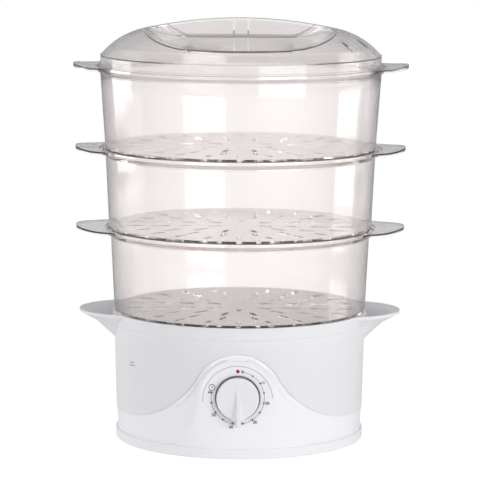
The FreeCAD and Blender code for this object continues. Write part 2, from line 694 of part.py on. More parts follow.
# ---------------------------------------------------------------- heater
def heater_plate():
    """Cast dish that boils the water: flange under the seal, raised round top."""
    flange_top = TANK_FLOOR_Z - SEAL_THICK
    flange_low = flange_top - HEATER_SHEET
    inner = HEATER_RADIUS - HEATER_SHEET
    return revolve(
        [
            (inner, flange_low),
            (HEATER_FLANGE_RADIUS, flange_low),
            (HEATER_FLANGE_RADIUS, flange_top),
            (HEATER_RADIUS, flange_top),
            (HEATER_RADIUS, HEATER_TOP_Z - 2),
            (HEATER_RADIUS - 2, HEATER_TOP_Z),
            (0, HEATER_TOP_Z),
            (0, HEATER_TOP_Z - HEATER_SHEET),
            (inner, HEATER_TOP_Z - HEATER_SHEET),
        ]
    )


def heater_seal():
    """Silicone ring squeezed between the dish and the tank floor."""
    bore = HEATER_RADIUS + SEAL_CLEARANCE
    sleeve = HEATER_RADIUS + SEAL_SLEEVE - SEAL_CLEARANCE
    low = TANK_FLOOR_Z - SEAL_THICK
    return revolve(
        [
            (bore, low),
            (HEATER_FLANGE_RADIUS - 1, low),
            (HEATER_FLANGE_RADIUS - 1, TANK_FLOOR_Z),
            (sleeve, TANK_FLOOR_Z),
            (sleeve, TANK_FLOOR_TOP),
            (bore, TANK_FLOOR_TOP),
        ]
    )


def heater_clamp():
    """Pressed steel ring with three ears and a bar that carries the thermostat."""
    low = CLAMP_TOP - CLAMP_THICK
    ring = tube(HEATER_RADIUS + 4, HEATER_FLANGE_RADIUS + 1, low, CLAMP_TOP)
    bar = box(-HEATER_RADIUS - 5, HEATER_RADIUS + 5, -CLAMP_BAR / 2, CLAMP_BAR / 2, low, CLAMP_TOP)
    ears = []
    holes = [disc(4.5, low, CLAMP_TOP)]
    for angle in CLAMP_ANGLES:
        p = polar(CLAMP_SCREW_CIRCLE, angle)
        ears.append(disc(5, low, CLAMP_TOP, p.x, p.y))
        arm = box(HEATER_FLANGE_RADIUS - 1, CLAMP_SCREW_CIRCLE, -5, 5, low, CLAMP_TOP)
        arm.rotate(Vec(0, 0, 0), Vec(0, 0, 1), angle)
        ears.append(arm)
        holes.append(disc(CLAMP_SHANK + 0.2, low, CLAMP_TOP, p.x, p.y))
    return cut_all(fuse_all([ring, bar] + ears), holes)


def clamp_screws():
    screws = []
    for angle in CLAMP_ANGLES:
        p = polar(CLAMP_SCREW_CIRCLE, angle)
        seat = CLAMP_TOP - CLAMP_THICK
        screws.append(pan_screw(p.x, p.y, seat, TANK_FLOOR_Z - 1, CLAMP_HEAD, CLAMP_SHANK, CLAMP_THICK))
    return screws


def element_ends():
    """The two places where the element's cold ends come down."""
    return [polar(ELEMENT_RADIUS, 90 - ELEMENT_GAP_DEG), polar(ELEMENT_RADIUS, 90 + ELEMENT_GAP_DEG)]


def heating_element():
    """Sheathed element: an open ring brazed under the dish, two cold ends and their pins."""
    corner = ELEMENT_TUBE * math.tan(math.pi / 8)
    section = [
        (ELEMENT_RADIUS + sx * x, ELEMENT_Z + sz * z)
        for sx, sz, x, z in (
            (1, -1, corner, ELEMENT_TUBE),
            (1, -1, ELEMENT_TUBE, corner),
            (1, 1, ELEMENT_TUBE, corner),
            (1, 1, corner, ELEMENT_TUBE),
            (-1, 1, corner, ELEMENT_TUBE),
            (-1, 1, ELEMENT_TUBE, corner),
            (-1, -1, ELEMENT_TUBE, corner),
            (-1, -1, corner, ELEMENT_TUBE),
        )
    ]
    sweep = 360 - 2 * ELEMENT_GAP_DEG
    ring = face_from_points(section).revolve(Vec(0, 0, 0), Vec(0, 0, 1), sweep)
    ring.rotate(Vec(0, 0, 0), Vec(0, 0, 1), 90 + ELEMENT_GAP_DEG)
    pieces = [ring]
    for p in element_ends():
        pieces.append(disc(ELEMENT_TUBE, ELEMENT_Z - 7, ELEMENT_Z + ELEMENT_TUBE, p.x, p.y))
        pieces.append(disc(PIN_RADIUS, ELEMENT_END_Z, ELEMENT_Z - 6, p.x, p.y))
    return fuse_all(pieces)


def thermostat():
    """Snap-disc cut-out pressed to the underside of the dish, with two tags."""
    top = HEATER_TOP_Z - HEATER_SHEET
    can = disc(THERMOSTAT_RADIUS, CLAMP_TOP, top)
    neck = disc(4.0, CLAMP_TOP - 5, CLAMP_TOP)
    tags = [box(x - 0.4, x + 0.4, -2, 2, CLAMP_TOP - 10, CLAMP_TOP - 4) for x in (-2.5, 2.5)]
    return fuse_all([can, neck] + tags)


# ---------------------------------------------------------------- timer
def timer_movement():
    """Clockwork timer: mounting plate, drum and the front bearing of its shaft."""
    face = DIAL_Y + HOUSING_WALL
    back = face + TIMER_PLATE_THICK
    half = TIMER_PLATE_WIDTH / 2
    plate = box(-half, half, face, back, DIAL_Z - TIMER_PLATE_HALF, DIAL_Z + TIMER_PLATE_HALF)
    plate = plate.common(rod_y(TIMER_PLATE_ROUND, face, back, 0, DIAL_Z))
    drum = rod_y(TIMER_DRUM_RADIUS, back, back + TIMER_DRUM_DEPTH, 0, DIAL_Z)
    spindle_end = back + TIMER_DRUM_DEPTH + BELL_DEPTH - BELL_SHEET
    spindle = rod_y(2.5, back + TIMER_DRUM_DEPTH, spindle_end, 0, DIAL_Z)
    tags = []
    for x in (-9.0, 9.0):
        tags.append(box(x - 3, x + 3, TAG_Y - 0.4, TAG_Y + 0.4, TAG_Z, DIAL_Z - 15))
    bore = rod_y(SHAFT_RADIUS + SHAFT_CLEARANCE, face, back + TIMER_BORE_DEPTH, 0, DIAL_Z)
    holes = [bore]
    for x in (-TIMER_SCREW_SPAN, TIMER_SCREW_SPAN):
        holes.append(rod_y(TIMER_SCREW_SHANK + THREAD_CLEARANCE, face, back + 8, x, DIAL_Z))
    return cut_all(fuse_all([plate, drum, spindle] + tags), holes)


def timer_bell():
    """Dished steel bell on the back of the movement."""
    start = DIAL_Y + HOUSING_WALL + TIMER_PLATE_THICK + TIMER_DRUM_DEPTH + 1.5
    depth = BELL_DEPTH - 1.5
    points = [
        (0, depth - BELL_SHEET),
        (BELL_RADIUS - 6 - BELL_SHEET, depth - BELL_SHEET),
        (BELL_RADIUS - BELL_SHEET, depth - 5),
        (BELL_RADIUS - BELL_SHEET, 0),
        (BELL_RADIUS, 0),
        (BELL_RADIUS, depth - 4.6),
        (BELL_RADIUS - 5.6, depth),
        (0, depth),
    ]
    bell = revolve(points)
    bell.rotate(Vec(0, 0, 0), Vec(1, 0, 0), -90)
    bell.translate(Vec(0, start, DIAL_Z))
    return bell


def timer_shaft():
    """D-shaft that carries the knob."""
    face = DIAL_Y + HOUSING_WALL
    front = DIAL_Y - KNOB_STANDOFF - KNOB_THICK + 2
    shaft = rod_y(SHAFT_RADIUS, front, face + TIMER_PLATE_THICK + TIMER_BORE_DEPTH - 1, 0, DIAL_Z)
    flat = box(-SHAFT_RADIUS, SHAFT_RADIUS, front, DIAL_Y - 1, DIAL_Z + SHAFT_FLAT, DIAL_Z + 5)
    return turned(shaft.cut(flat))


def timer_screws():
    """Two countersunk screws under the knob that hold the movement."""
    screws = []
    for x in (-TIMER_SCREW_SPAN, TIMER_SCREW_SPAN):
        place = Vec(x, DIAL_Y + 0.02, DIAL_Z)
        neck = TIMER_SCREW_SHANK + 0.25
        head = Part.makeCone(TIMER_SCREW_HEAD, neck, TIMER_SCREW_SINK, place, Vec(0, 1, 0))
        shank = rod_y(TIMER_SCREW_SHANK, DIAL_Y + 1, DIAL_Y + 10, x, DIAL_Z)
        slot = box(x - 2.5, x + 2.5, DIAL_Y, DIAL_Y + 0.6, DIAL_Z - 0.4, DIAL_Z + 0.4)
        screws.append(fuse_all([head, shank]).cut(slot))
    return screws


def turned(shape):
    """Turns a shape drawn with its pointer up to the pointer's place at rest."""
    shape.rotate(Vec(0, 0, DIAL_Z), Vec(0, 1, 0), POINTER_ANGLE)
    return shape


def timer_knob():
    """Round knob with a wedge grip that rises towards its pointer end."""
    back = DIAL_Y - KNOB_STANDOFF
    front = back - KNOB_THICK
    disc_body = rod_y(KNOB_RADIUS, front, back, 0, DIAL_Z)
    rims = [e for e in disc_body.Edges if all(abs(v.Y - front) < 0.01 for v in e.Vertexes)]
    disc_body = disc_body.makeFillet(KNOB_ROUND, rims[:1])
    crest = front - POINTER_HEIGHT
    sunk = front + KNOB_ROUND

    def section(z, half, top_y):
        left = Vec(-half, sunk, z)
        right = Vec(half, sunk, z)
        top_left = Vec(-POINTER_CREST / 2, top_y, z)
        top_right = Vec(POINTER_CREST / 2, top_y, z)
        waist = top_y + (sunk - top_y) * 0.55
        hollow = POINTER_CREST / 2 + (half - POINTER_CREST / 2) * 0.38
        edges = [
            arc(left, Vec(-hollow, waist, z), top_left),
            line(top_left, top_right),
            arc(top_right, Vec(hollow, waist, z), right),
            line(right, left),
        ]
        return Part.Wire(edges)

    tail = section(DIAL_Z - POINTER_START, POINTER_CREST, front - 0.2)
    heel = section(DIAL_Z + KNOB_RADIUS, POINTER_WIDTH / 2, crest + POINTER_HEIGHT * 0.15)
    tip = section(DIAL_Z + POINTER_REACH, POINTER_WIDTH / 2 + 1, crest)
    grip = Part.makeLoft([tail, heel], True, True).fuse(Part.makeLoft([heel, tip], True, True))
    beside_nose = rod_y(KNOB_RADIUS, crest - 1, back + 1, 0, DIAL_Z)
    nose_lane = box(-POINTER_NOSE / 2, POINTER_NOSE / 2, crest - 1, back, DIAL_Z, DIAL_Z + POINTER_REACH + 1)
    grip = grip.common(beside_nose.fuse(nose_lane))
    nose = box(-POINTER_NOSE / 2, POINTER_NOSE / 2, front, back - 0.5, DIAL_Z + 12, DIAL_Z + POINTER_REACH)
    trim = rod_y(POINTER_REACH, crest - 1, back, 0, DIAL_Z)
    hub = rod_y(SHAFT_RADIUS + 3, front, back, 0, DIAL_Z)
    recess = rod_y(KNOB_RADIUS - 1.8, front + 2.2, back + 1, 0, DIAL_Z).cut(hub)
    body = fuse_all([disc_body, grip.common(trim), nose.common(trim)]).cut(recess)
    bore = rod_y(SHAFT_RADIUS + 0.02, front + 2, back + 1, 0, DIAL_Z)
    flat = box(-5, 5, front + 2, back + 1, DIAL_Z + SHAFT_FLAT + 0.02, DIAL_Z + 5)
    return turned(body.cut(bore.cut(flat)).removeSplitter())


def bezel_ring():
    """Dark ring let into the dial face round the knob, and the groove it fills."""
    inner = KNOB_RADIUS + BEZEL_GAP
    outer = inner + BEZEL_WIDTH
    y1 = DIAL_Y + BEZEL_SINK
    return rod_y(outer, DIAL_Y, y1, 0, DIAL_Z).cut(rod_y(inner, DIAL_Y, y1, 0, DIAL_Z))


def indicator_lens():
    z = DIAL_Z + LAMP_OFFSET
    stem = rod_y(LENS_RADIUS, DIAL_Y, DIAL_Y + HOUSING_WALL + 2, 0, z)
    dome = Part.makeCone(LENS_RADIUS * 0.6, LENS_RADIUS, 0.7, Vec(0, DIAL_Y - 0.7, z), Vec(0, 1, 0))
    return fuse_all([stem, dome])


def neon_lamp():
    """Neon lamp in its sleeve behind the lens."""
    z = DIAL_Z + LAMP_OFFSET
    start = DIAL_Y + HOUSING_WALL + 2
    bulb = rod_y(LAMP_RADIUS, start, start + 12, 0, z)
    pinch = box(-1.5, 1.5, start + 12, start + 14, z - 0.8, z + 0.8)
    return fuse_all([bulb, pinch])


# ---------------------------------------------------------------- wiring
def terminal_block():
    """Three-way block on the cover floor behind the heater."""
    low = COVER_FLOOR_TOP
    block = box(-15, 15, TERMINAL_Y - 7, TERMINAL_Y + 7, low, TERMINAL_TOP)
    cells = []
    for x in TERMINAL_XS:
        left = x - TERMINAL_CELL
        right = x + TERMINAL_CELL
        cells.append(box(left, right, TERMINAL_Y - 8, TERMINAL_Y + 8, low + 4, TERMINAL_TOP - 3))
    return cut_all(block, cells)


def terminal_clamps():
    """Brass tunnel clamps inside the block."""
    clamps = []
    low = COVER_FLOOR_TOP + 4
    half = TERMINAL_CELL - 0.1
    for x in TERMINAL_XS:
        body = box(x - half, x + half, TERMINAL_Y - 5, TERMINAL_Y + 5, low, TERMINAL_TOP - 3)
        hole = rod_y(LEAD_RADIUS + 0.05, TERMINAL_Y - 5, TERMINAL_Y + 5, x, low + 3)
        clamps.append(body.cut(hole))
    return clamps


def thermal_fuse():
    """Sleeved fuse between the second element pin and the block."""
    return rod_y(FUSE_RADIUS, FUSE_Y, FUSE_Y + FUSE_LENGTH, FUSE_X, FUSE_Z)


def internal_leads():
    """Insulated leads, each along its own route under the tank floor."""
    lane = LEAD_LANE
    clamp_z = COVER_FLOOR_TOP + 4 + 3
    ends = element_ends()
    tag_low = CLAMP_TOP - 10
    face = TERMINAL_Y - 5
    routes = [
        [
            Vec(TERMINAL_XS[0], face + 1, clamp_z),
            Vec(TERMINAL_XS[0], 60, clamp_z),
            Vec(-62, 30, lane),
            Vec(-62, -50, lane),
            Vec(-9, TAG_Y, lane),
            Vec(-9, TAG_Y, TAG_Z),
        ],
        [
            Vec(9, TAG_Y, TAG_Z),
            Vec(9, TAG_Y, lane),
            Vec(-2.5, 0, lane),
            Vec(-2.5, 0, tag_low),
        ],
        [
            Vec(2.5, 0, tag_low),
            Vec(2.5, 0, lane),
            Vec(ends[1].x, ends[1].y, lane),
            Vec(ends[1].x, ends[1].y, ELEMENT_END_Z),
        ],
        [
            Vec(ends[0].x, ends[0].y, ELEMENT_END_Z),
            Vec(ends[0].x, ends[0].y, FUSE_Z),
            Vec(FUSE_X, FUSE_Y - 8, FUSE_Z),
            Vec(FUSE_X, FUSE_Y, FUSE_Z),
        ],
        [
            Vec(FUSE_X, FUSE_Y + FUSE_LENGTH, FUSE_Z),
            Vec(FUSE_X, FUSE_Y + FUSE_LENGTH + 8, FUSE_Z),
            Vec(TERMINAL_XS[2], face - 7, clamp_z),
            Vec(TERMINAL_XS[2], face + 1, clamp_z),
        ],
    ]
    return [swept_tube(path_with_bends(route, [LEAD_BEND] * len(route)), LEAD_RADIUS) for route in routes]


# ---------------------------------------------------------------- loose parts in the tank
def turbo_ring():
    """Loose funnel round the heater that speeds up the first steam."""
    z0 = TANK_FLOOR_TOP
    z1 = z0 + RING_HEIGHT
    cone = revolve(
        [
            (RING_BASE_RADIUS - RING_WALL, z0),
            (RING_BASE_RADIUS, z0),
            (RING_TOP_RADIUS, z1),
            (RING_TOP_RADIUS - RING_WALL, z1),
        ]
    )
    brim = tube(RING_TOP_RADIUS - RING_WALL, RING_TOP_RADIUS + 4, z1 - 1.8, z1)
    arches = []
    for i in range(RING_ARCHES):
        arch = Part.makeCylinder(7, 20, Vec(RING_BASE_RADIUS - 10, 0, z0), Vec(1, 0, 0))
        arch.rotate(Vec(0, 0, 0), Vec(0, 0, 1), 90 + i * 360 / RING_ARCHES)
        arches.append(arch)
    return cut_all(fuse_all([cone, brim]), arches)


def drip_tray():
    """Juice tray that hangs on the tank's ledge, with a capped steam chimney."""
    t = TRAY_THICK
    top = LEDGE_Z + t
    flange = RIM_RADIUS - TRAY_FLANGE_GAP
    low = LEDGE_Z - TRAY_DEPTH
    cap_z = low + CHIMNEY_RISE
    body = revolve(
        [
            (flange, LEDGE_Z),
            (flange, top),
            (TRAY_WALL_RADIUS, top),
            (TRAY_WALL_RADIUS - 3, low + t),
            (CHIMNEY_RADIUS, low + t),
            (CHIMNEY_RADIUS - 2, cap_z),
            (0, cap_z + 1.5),
            (0, cap_z + 1.5 - t),
            (CHIMNEY_RADIUS - 2 - t, cap_z - t),
            (CHIMNEY_RADIUS - t, low),
            (TRAY_WALL_RADIUS - 1.6, low),
            (TRAY_WALL_RADIUS + 1.4, LEDGE_Z),
        ]
    )
    windows = []
    for i in range(CHIMNEY_WINDOWS):
        window = box(CHIMNEY_RADIUS - 9, CHIMNEY_RADIUS + 4, -6, 6, low + 5, cap_z - 3)
        window.rotate(Vec(0, 0, 0), Vec(0, 0, 1), (i + 0.5) * 360 / CHIMNEY_WINDOWS)
        windows.append(window)
    return cut_all(body, windows)


# ---------------------------------------------------------------- baskets
def stack_sizes():
    """Heights and radii of the three baskets, each one from the rim below it."""
    sizes = []
    rim_z = TANK_RIM_Z
    seat = RIM_RADIUS
    for i, name in enumerate(BASKET_NAMES):
        foot = seat - FOOT_CLEARANCE
        shoulder = foot + BASKET_LEDGES[i]
        wall = shoulder + BASKET_TAPERS[i]
        size = {
            "name": name,
            "low": rim_z,
            "rim": rim_z + BASKET_HEIGHTS[i],
            "foot": foot,
            "shoulder": shoulder,
            "wall": wall,
            "seat": wall - BASKET_WALL,
            "flange": wall + BASKET_FLANGES[i],
        }
        size["tip"] = size["flange"] + BASKET_EARS[i]
        sizes.append(size)
        rim_z = size["rim"]
        seat = size["seat"]
    return sizes


def floor_slots(z0, z1, reach):
    """Radial steam slots in rings, left out where they would reach the wall."""
    slots = []
    for start, length, count in SLOT_ROWS:
        if start + length > reach:
            continue
        for i in range(count):
            slot = box(start, start + length, -SLOT_WIDTH / 2, SLOT_WIDTH / 2, z0, z1)
            slot.rotate(Vec(0, 0, 0), Vec(0, 0, 1), (i + 0.5) * 360 / count)
            slots.append(slot)
    return slots


def rising_slab(size, thick):
    """A plate under the rim's level, flat across the basket, that curves up along both ears."""
    start = size["flange"]
    reach = size["tip"] - start
    bend = (reach**2 + EAR_RISE**2) / (2 * EAR_RISE)
    end = math.asin((reach + BEAD_WIDTH) / bend)

    def on_arc(side, radius, angle):
        x = side * (start + radius * math.sin(angle))
        return Vec(x, -BEYOND, size["rim"] + bend - radius * math.cos(angle))

    def curve(side, radius):
        return [on_arc(side, radius, a) for a in (0, end / 2, end)]

    top_right, top_left = curve(1, bend), curve(-1, bend)
    low_right, low_left = curve(1, bend + thick), curve(-1, bend + thick)
    edges = [
        line(top_left[0], top_right[0]),
        arc(*top_right),
        line(top_right[2], low_right[2]),
        arc(*low_right),
        line(low_right[0], low_left[0]),
        arc(*low_left),
        line(low_left[2], top_left[2]),
        arc(*top_left),
    ]
    return Part.Face(Part.Wire(Part.sortEdges(edges)[0])).extrude(Vec(0, 2 * BEYOND, 0))


def basket(size):
    """Clear basket: foot, slotted floor, flared wall, coved flange and two rising ears."""
    low, rim = size["low"], size["rim"]
    foot, seat = size["foot"], size["seat"]
    wall = revolve(
        [
            (foot - FOOT_WALL, low - FOOT_DEPTH),
            (foot, low - FOOT_DEPTH),
            (foot, low),
            (size["shoulder"] - 0.7, low),
            (size["shoulder"], low + 0.7),
            (size["wall"], rim - FLANGE_COVE),
            (size["flange"], rim - FLANGE_THICK),
            (size["flange"], rim),
            (seat, rim),
            (seat, rim - FOOT_DEPTH - 1.0),
            (size["shoulder"] - BASKET_WALL, low + BASKET_FLOOR),
            (0, low + BASKET_FLOOR),
            (0, low),
            (foot - FOOT_WALL, low),
        ]
    )
    base = rim - BEAD_HEIGHT
    height = Vec(0, 0, BEAD_HEIGHT + 2 * EAR_RISE)
    outline = eared_outline(
        size["flange"], size["tip"], BASKET_EAR_RADIUS, BASKET_EAR_FILLET, base
    )
    inner_outline = eared_outline(
        size["flange"] - BEAD_WIDTH,
        size["tip"] - BEAD_WIDTH,
        BASKET_EAR_RADIUS - BEAD_WIDTH,
        BASKET_EAR_FILLET + BEAD_WIDTH,
        base,
    )
    block = Part.Face(outline).extrude(height)
    core = Part.Face(inner_outline).extrude(height)
    plate = block.common(rising_slab(size, FLANGE_THICK))
    bead = block.cut(core).common(rising_slab(size, BEAD_HEIGHT))
    body = wall.fuse([plate.cut(disc(seat, rim - 10, rim + 1)), bead])
    slots = floor_slots(low - 1, low + BASKET_FLOOR + 1, foot - FOOT_WALL - 2)
    return cut_all(body, slots).removeSplitter()


# ---------------------------------------------------------------- lid
def dome(size, inset):
    """Solid under the dome, pulled in by the given amount: two tangent arcs over an upright skirt."""
    rim = size["rim"]
    crown_z = rim + LID_HEIGHT
    crown_hub = Vec(0, 0, crown_z - CROWN_RADIUS)
    join = Vec(CROWN_RUN, 0, crown_hub.z + math.sqrt(CROWN_RADIUS**2 - CROWN_RUN**2))
    skirt = size["wall"] - LID_SKIRT_INSET
    hip = Vec(skirt - LID_STEP, 0, rim + LID_SKIRT)
    inward = (crown_hub - join).normalize()
    chord = hip - join
    shoulder_radius = chord.dot(chord) / (2 * chord.dot(inward))
    shoulder_hub = join + inward * shoulder_radius
    crown = Vec(0, 0, crown_z - inset)
    join_in = join + inward * inset
    hip_in = shoulder_hub + (hip - shoulder_hub).normalize() * (shoulder_radius - inset)
    crown_mid = middle_of_arc(crown_hub, CROWN_RADIUS - inset, crown, join_in)
    shoulder_mid = middle_of_arc(shoulder_hub, shoulder_radius - inset, join_in, hip_in)
    base = Vec(skirt - inset, 0, rim)
    ledge = Vec(skirt - inset, 0, hip_in.z)
    edges = [arc(crown, crown_mid, join_in), arc(join_in, shoulder_mid, hip_in)]
    if inset == 0:
        edges.append(line(hip_in, ledge))
        edges.append(line(ledge, base))
    else:
        edges.append(line(hip_in, base))
    edges.append(line(base, Vec(0, 0, rim)))
    edges.append(line(Vec(0, 0, rim), crown))
    return Part.Face(Part.Wire(edges)).revolve(Vec(0, 0, 0), Vec(0, 0, 1), 360)


def under_hollow(size, grow):
    """Everything below the floor of the front hollow, which is level and then sweeps up to the sides."""
    level = size["rim"] + LID_HEIGHT - HOLLOW_DEPTH
    bend = HOLLOW_SWEEP + grow
    back = 20.0
    lift = back * HOLLOW_SLOPE

    def on_sweep(side, degrees):
        a = math.radians(degrees)
        x = side * (HOLLOW_FLAT + bend * math.sin(a))
        return Vec(x, back, level + HOLLOW_SWEEP - bend * math.cos(a) + lift)

    right = [on_sweep(1, d) for d in (0, 35, 70)]
    left = [on_sweep(-1, d) for d in (0, 35, 70)]
    right_foot = Vec(right[2].x, back, level - 60)
    left_foot = Vec(left[2].x, back, level - 60)
    edges = [
        line(left_foot, left[2]),
        arc(left[2], left[1], left[0]),
        line(left[0], right[0]),
        arc(right[0], right[1], right[2]),
        line(right[2], right_foot),
        line(right_foot, left_foot),
    ]
    return Part.Face(Part.Wire(edges)).extrude(Vec(0, -1, -HOLLOW_SLOPE) * BEYOND)


def finger_hollow(size, grow):
    """One hollow beside the handle, in front; grown outwards by the given amount."""
    floor = size["rim"] + LID_HEIGHT - HOLLOW_DEPTH - grow
    far = size["wall"] + 40

    def outline(z):
        lean = HOLLOW_DRAFT * (z - floor) / DRAFT_HEIGHT
        run = HANDLE_RUN + lean + grow * 0.5
        near = -HANDLE_HALF + 0.02 * lean + grow
        side = run + HANDLE_FLARE
        flare_y = -HANDLE_HALF - HANDLE_SPREAD + 0.2 * lean + grow
        route = [
            Vec(-side, -far, z),
            Vec(-side, flare_y, z),
            Vec(-run, near, z),
            Vec(run, near, z),
            Vec(side, flare_y, z),
            Vec(side, -far, z),
        ]
        bends = (FLARE_BEND + grow, HOLLOW_BEND + grow, HOLLOW_BEND + grow, FLARE_BEND + grow)
        edges = path_with_bends(route, bends).Edges
        return Part.Wire(edges + [line(route[-1], route[0])])

    block = Part.makeLoft([outline(floor - 12), outline(floor + DRAFT_HEIGHT)], True, True)
    return block.cut(under_hollow(size, grow))


def both_ways(shape):
    other = shape.copy()
    other.rotate(Vec(0, 0, 0), Vec(0, 0, 1), 180)
    return shape, other


def lid(size):
    """Clear dome with two finger hollows that leave a handle, a brim, a locating rib and vents."""
    rim = size["rim"]
    outer = dome(size, 0)
    inner = dome(size, LID_WALL)
    for hollow in both_ways(finger_hollow(size, 0)):
        outer = outer.cut(hollow)
    for hollow in both_ways(finger_hollow(size, LID_WALL)):
        inner = inner.cut(hollow)
    shell = outer.cut(inner)
    skirt = size["wall"] - LID_SKIRT_INSET
    rib = size["seat"] - FOOT_CLEARANCE
    brim = tube(skirt - LID_WALL, skirt + LID_BRIM, rim, rim + LID_BRIM_THICK)
    locator = revolve(
        [
            (rib - LID_RIB_WALL, rim - LID_RIB_DEPTH),
            (rib - 0.6, rim - LID_RIB_DEPTH),
            (rib, rim - LID_RIB_DEPTH + 0.6),
            (rib, rim),
            (skirt - 0.5, rim),
            (skirt - 0.5, rim + LID_BRIM_THICK),
            (rib - LID_RIB_WALL, rim + LID_BRIM_THICK),
        ]
    )
    webs = []
    web_low = rim + LID_HEIGHT - HOLLOW_DEPTH - LID_WALL - 6
    for x in HANDLE_WEBS:
        web = box(x - WEB_THICK / 2, x + WEB_THICK / 2, -9, 9, web_low, rim + LID_HEIGHT)
        webs.append(web.common(outer))
    body = shell.fuse([brim, locator] + webs)
    vents = []
    for angle in VENT_ANGLES:
        half = (VENT_LENGTH - VENT_WIDTH) / 2
        z0, z1 = rim + 15, rim + LID_HEIGHT
        ends = [disc(VENT_WIDTH / 2, z0, z1, VENT_RADIUS + s * half) for s in (-1, 1)]
        slot = box(VENT_RADIUS - half, VENT_RADIUS + half, -VENT_WIDTH / 2, VENT_WIDTH / 2, z0, z1)
        vent = fuse_all([slot] + ends)
        vent.rotate(Vec(0, 0, 0), Vec(0, 0, 1), angle)
        vents.append(vent)
    return cut_all(body, vents).removeSplitter()


# ---------------------------------------------------------------- the whole steamer
os.makedirs("parts", exist_ok=True)
save("base_housing", base_housing())
save("bottom_cover", bottom_cover())
save("rubber_feet", *rubber_feet())
save("cover_screws", *cover_screws())
save("cord_bush", cord_bush())
save("water_tank", water_tank())
save("heater_plate", heater_plate())
save("heater_seal", heater_seal())
save("heater_clamp", heater_clamp())
save("clamp_screws", *clamp_screws())
save("heating_element", heating_element())
save("thermostat", thermostat())
save("thermal_fuse", thermal_fuse())
save("timer_movement", timer_movement())
save("timer_bell", timer_bell())
save("timer_shaft", timer_shaft())
save("timer_screws", *timer_screws())
save("timer_knob", timer_knob())
save("knob_bezel", bezel_ring())
save("indicator_lens", indicator_lens())
save("neon_lamp", neon_lamp())
save("terminal_block", terminal_block())
save("terminal_clamps", *terminal_clamps())
save("internal_leads", *internal_leads())
save("turbo_ring", turbo_ring())
save("drip_tray", drip_tray())
STACK = stack_sizes()
for tier in STACK:
    save(tier["name"], basket(tier))
save("lid", lid(STACK[-1]))
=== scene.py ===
import math

import bmesh
import bpy
from mathutils import Matrix, Vector


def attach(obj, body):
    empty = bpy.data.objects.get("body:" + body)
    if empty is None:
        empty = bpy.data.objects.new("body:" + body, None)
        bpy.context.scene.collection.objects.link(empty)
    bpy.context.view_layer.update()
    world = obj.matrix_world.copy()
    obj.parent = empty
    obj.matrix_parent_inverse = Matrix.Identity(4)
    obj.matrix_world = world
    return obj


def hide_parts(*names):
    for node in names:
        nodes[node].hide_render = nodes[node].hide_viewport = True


# The steamer comes off the line as engineered shells and works. Each section below takes one
# piece, gives it its final skin, its plastic and its print, and fixes it to the body it rides on.
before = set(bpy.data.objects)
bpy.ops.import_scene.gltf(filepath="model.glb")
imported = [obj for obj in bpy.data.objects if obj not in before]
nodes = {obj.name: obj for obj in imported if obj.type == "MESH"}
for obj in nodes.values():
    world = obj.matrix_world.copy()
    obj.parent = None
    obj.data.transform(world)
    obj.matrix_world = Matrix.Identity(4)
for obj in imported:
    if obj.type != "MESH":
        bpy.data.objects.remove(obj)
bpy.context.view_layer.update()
MM = 0.001


# The lower shell is injection-moulded white polypropylene with a soft gloss. Its front rises in
# a wave over the tank, and the flat dial face stands proud of the round wall on a drafted boss.
SHELL_FOOT, SHELL_SHOULDER, SHELL_WALL, SHELL_EDGE = 11.0, 29.5, 2.5, 0.35
SHELL_RADIUS, SHELL_FLARE = 113.0, 0.0465
WAVE_HALF, WAVE_FLANK_TOP, WAVE_FLANK_BEND = 113.5, 118.75, 89.05
WAVE_CROWN_Z, WAVE_CROWN, NOTCH_HALF, NOTCH_DEPTH = 56.9, 40.2, 9.0, 1.2
DIAL_Z, DIAL_FACE, FACE_HALF, ROOT_HALF, FLANK_DEPTH = 58.3, 118.0, 35.4, 51.4, 30.0
BOSS_ANGLE, LEG_SPLAY = math.radians(42), math.tan(math.radians(10))
TOE_TOP, TOE_TOP_Z = math.hypot(DIAL_FACE, FACE_HALF), 70.0
TOE_BULGE, TOE_HOLLOW, TOE_BLEND = 123.0, 52.7, 2.0
ROOT_BLEND, ROOT_BLEND_LOW, EDGE_BLEND, EDGE_BLEND_LOW = 2.0, 12.0, 1.4, 6.4
BLEND_GROWS_FROM, BLEND_GROWS_TO = 78.0, 40.0
TROUGH_WIDE, TROUGH_DEEP, TROUGH_DIP, TROUGH_BED = 5.0, 2.3, 1.4, 2.8
TROUGH_FADE_FROM, TROUGH_FADE_TO, NOTCH_FADE = 38.0, 62.0, 0.5
BUSH_HOLE, BUSH_Z, SHAFT_HOLE, LENS_HOLE, LENS_Z = 6.9, 19.7, 3.5, 1.65, 82.3
DRILL_FRONT, DRILL_REAR = (-130, -100), (90, 130)
OUTER_STEPS, EDGE_STEPS, INNER_STEPS, TOP_TRIES, TOP_EASE = 160, 4, 14, 24, 0.7
FINE_STEP, FINE_COUNT, COARSE_FROM, COARSE_STEP, COARSE_COUNT = 0.25, 104, 26.0, 2.456, 124


def wave_top(x):
    """Height of the shell's upper edge over a point on the front."""
    x = abs(x)
    bend = WAVE_FLANK_BEND
    join = WAVE_HALF * WAVE_CROWN / (WAVE_CROWN + bend)
    if x > WAVE_HALF:
        return SHELL_SHOULDER
    if x > join:
        return WAVE_FLANK_TOP - math.sqrt(bend**2 - (WAVE_HALF - x) ** 2)
    return WAVE_CROWN_Z + math.sqrt(WAVE_CROWN**2 - x**2)


def step_up(value, low, high):
    """0 below the low end, 1 above the high end and a smooth rise between them."""
    t = min(max((value - low) / (high - low), 0.0), 1.0)
    return t * t * (3 - 2 * t)


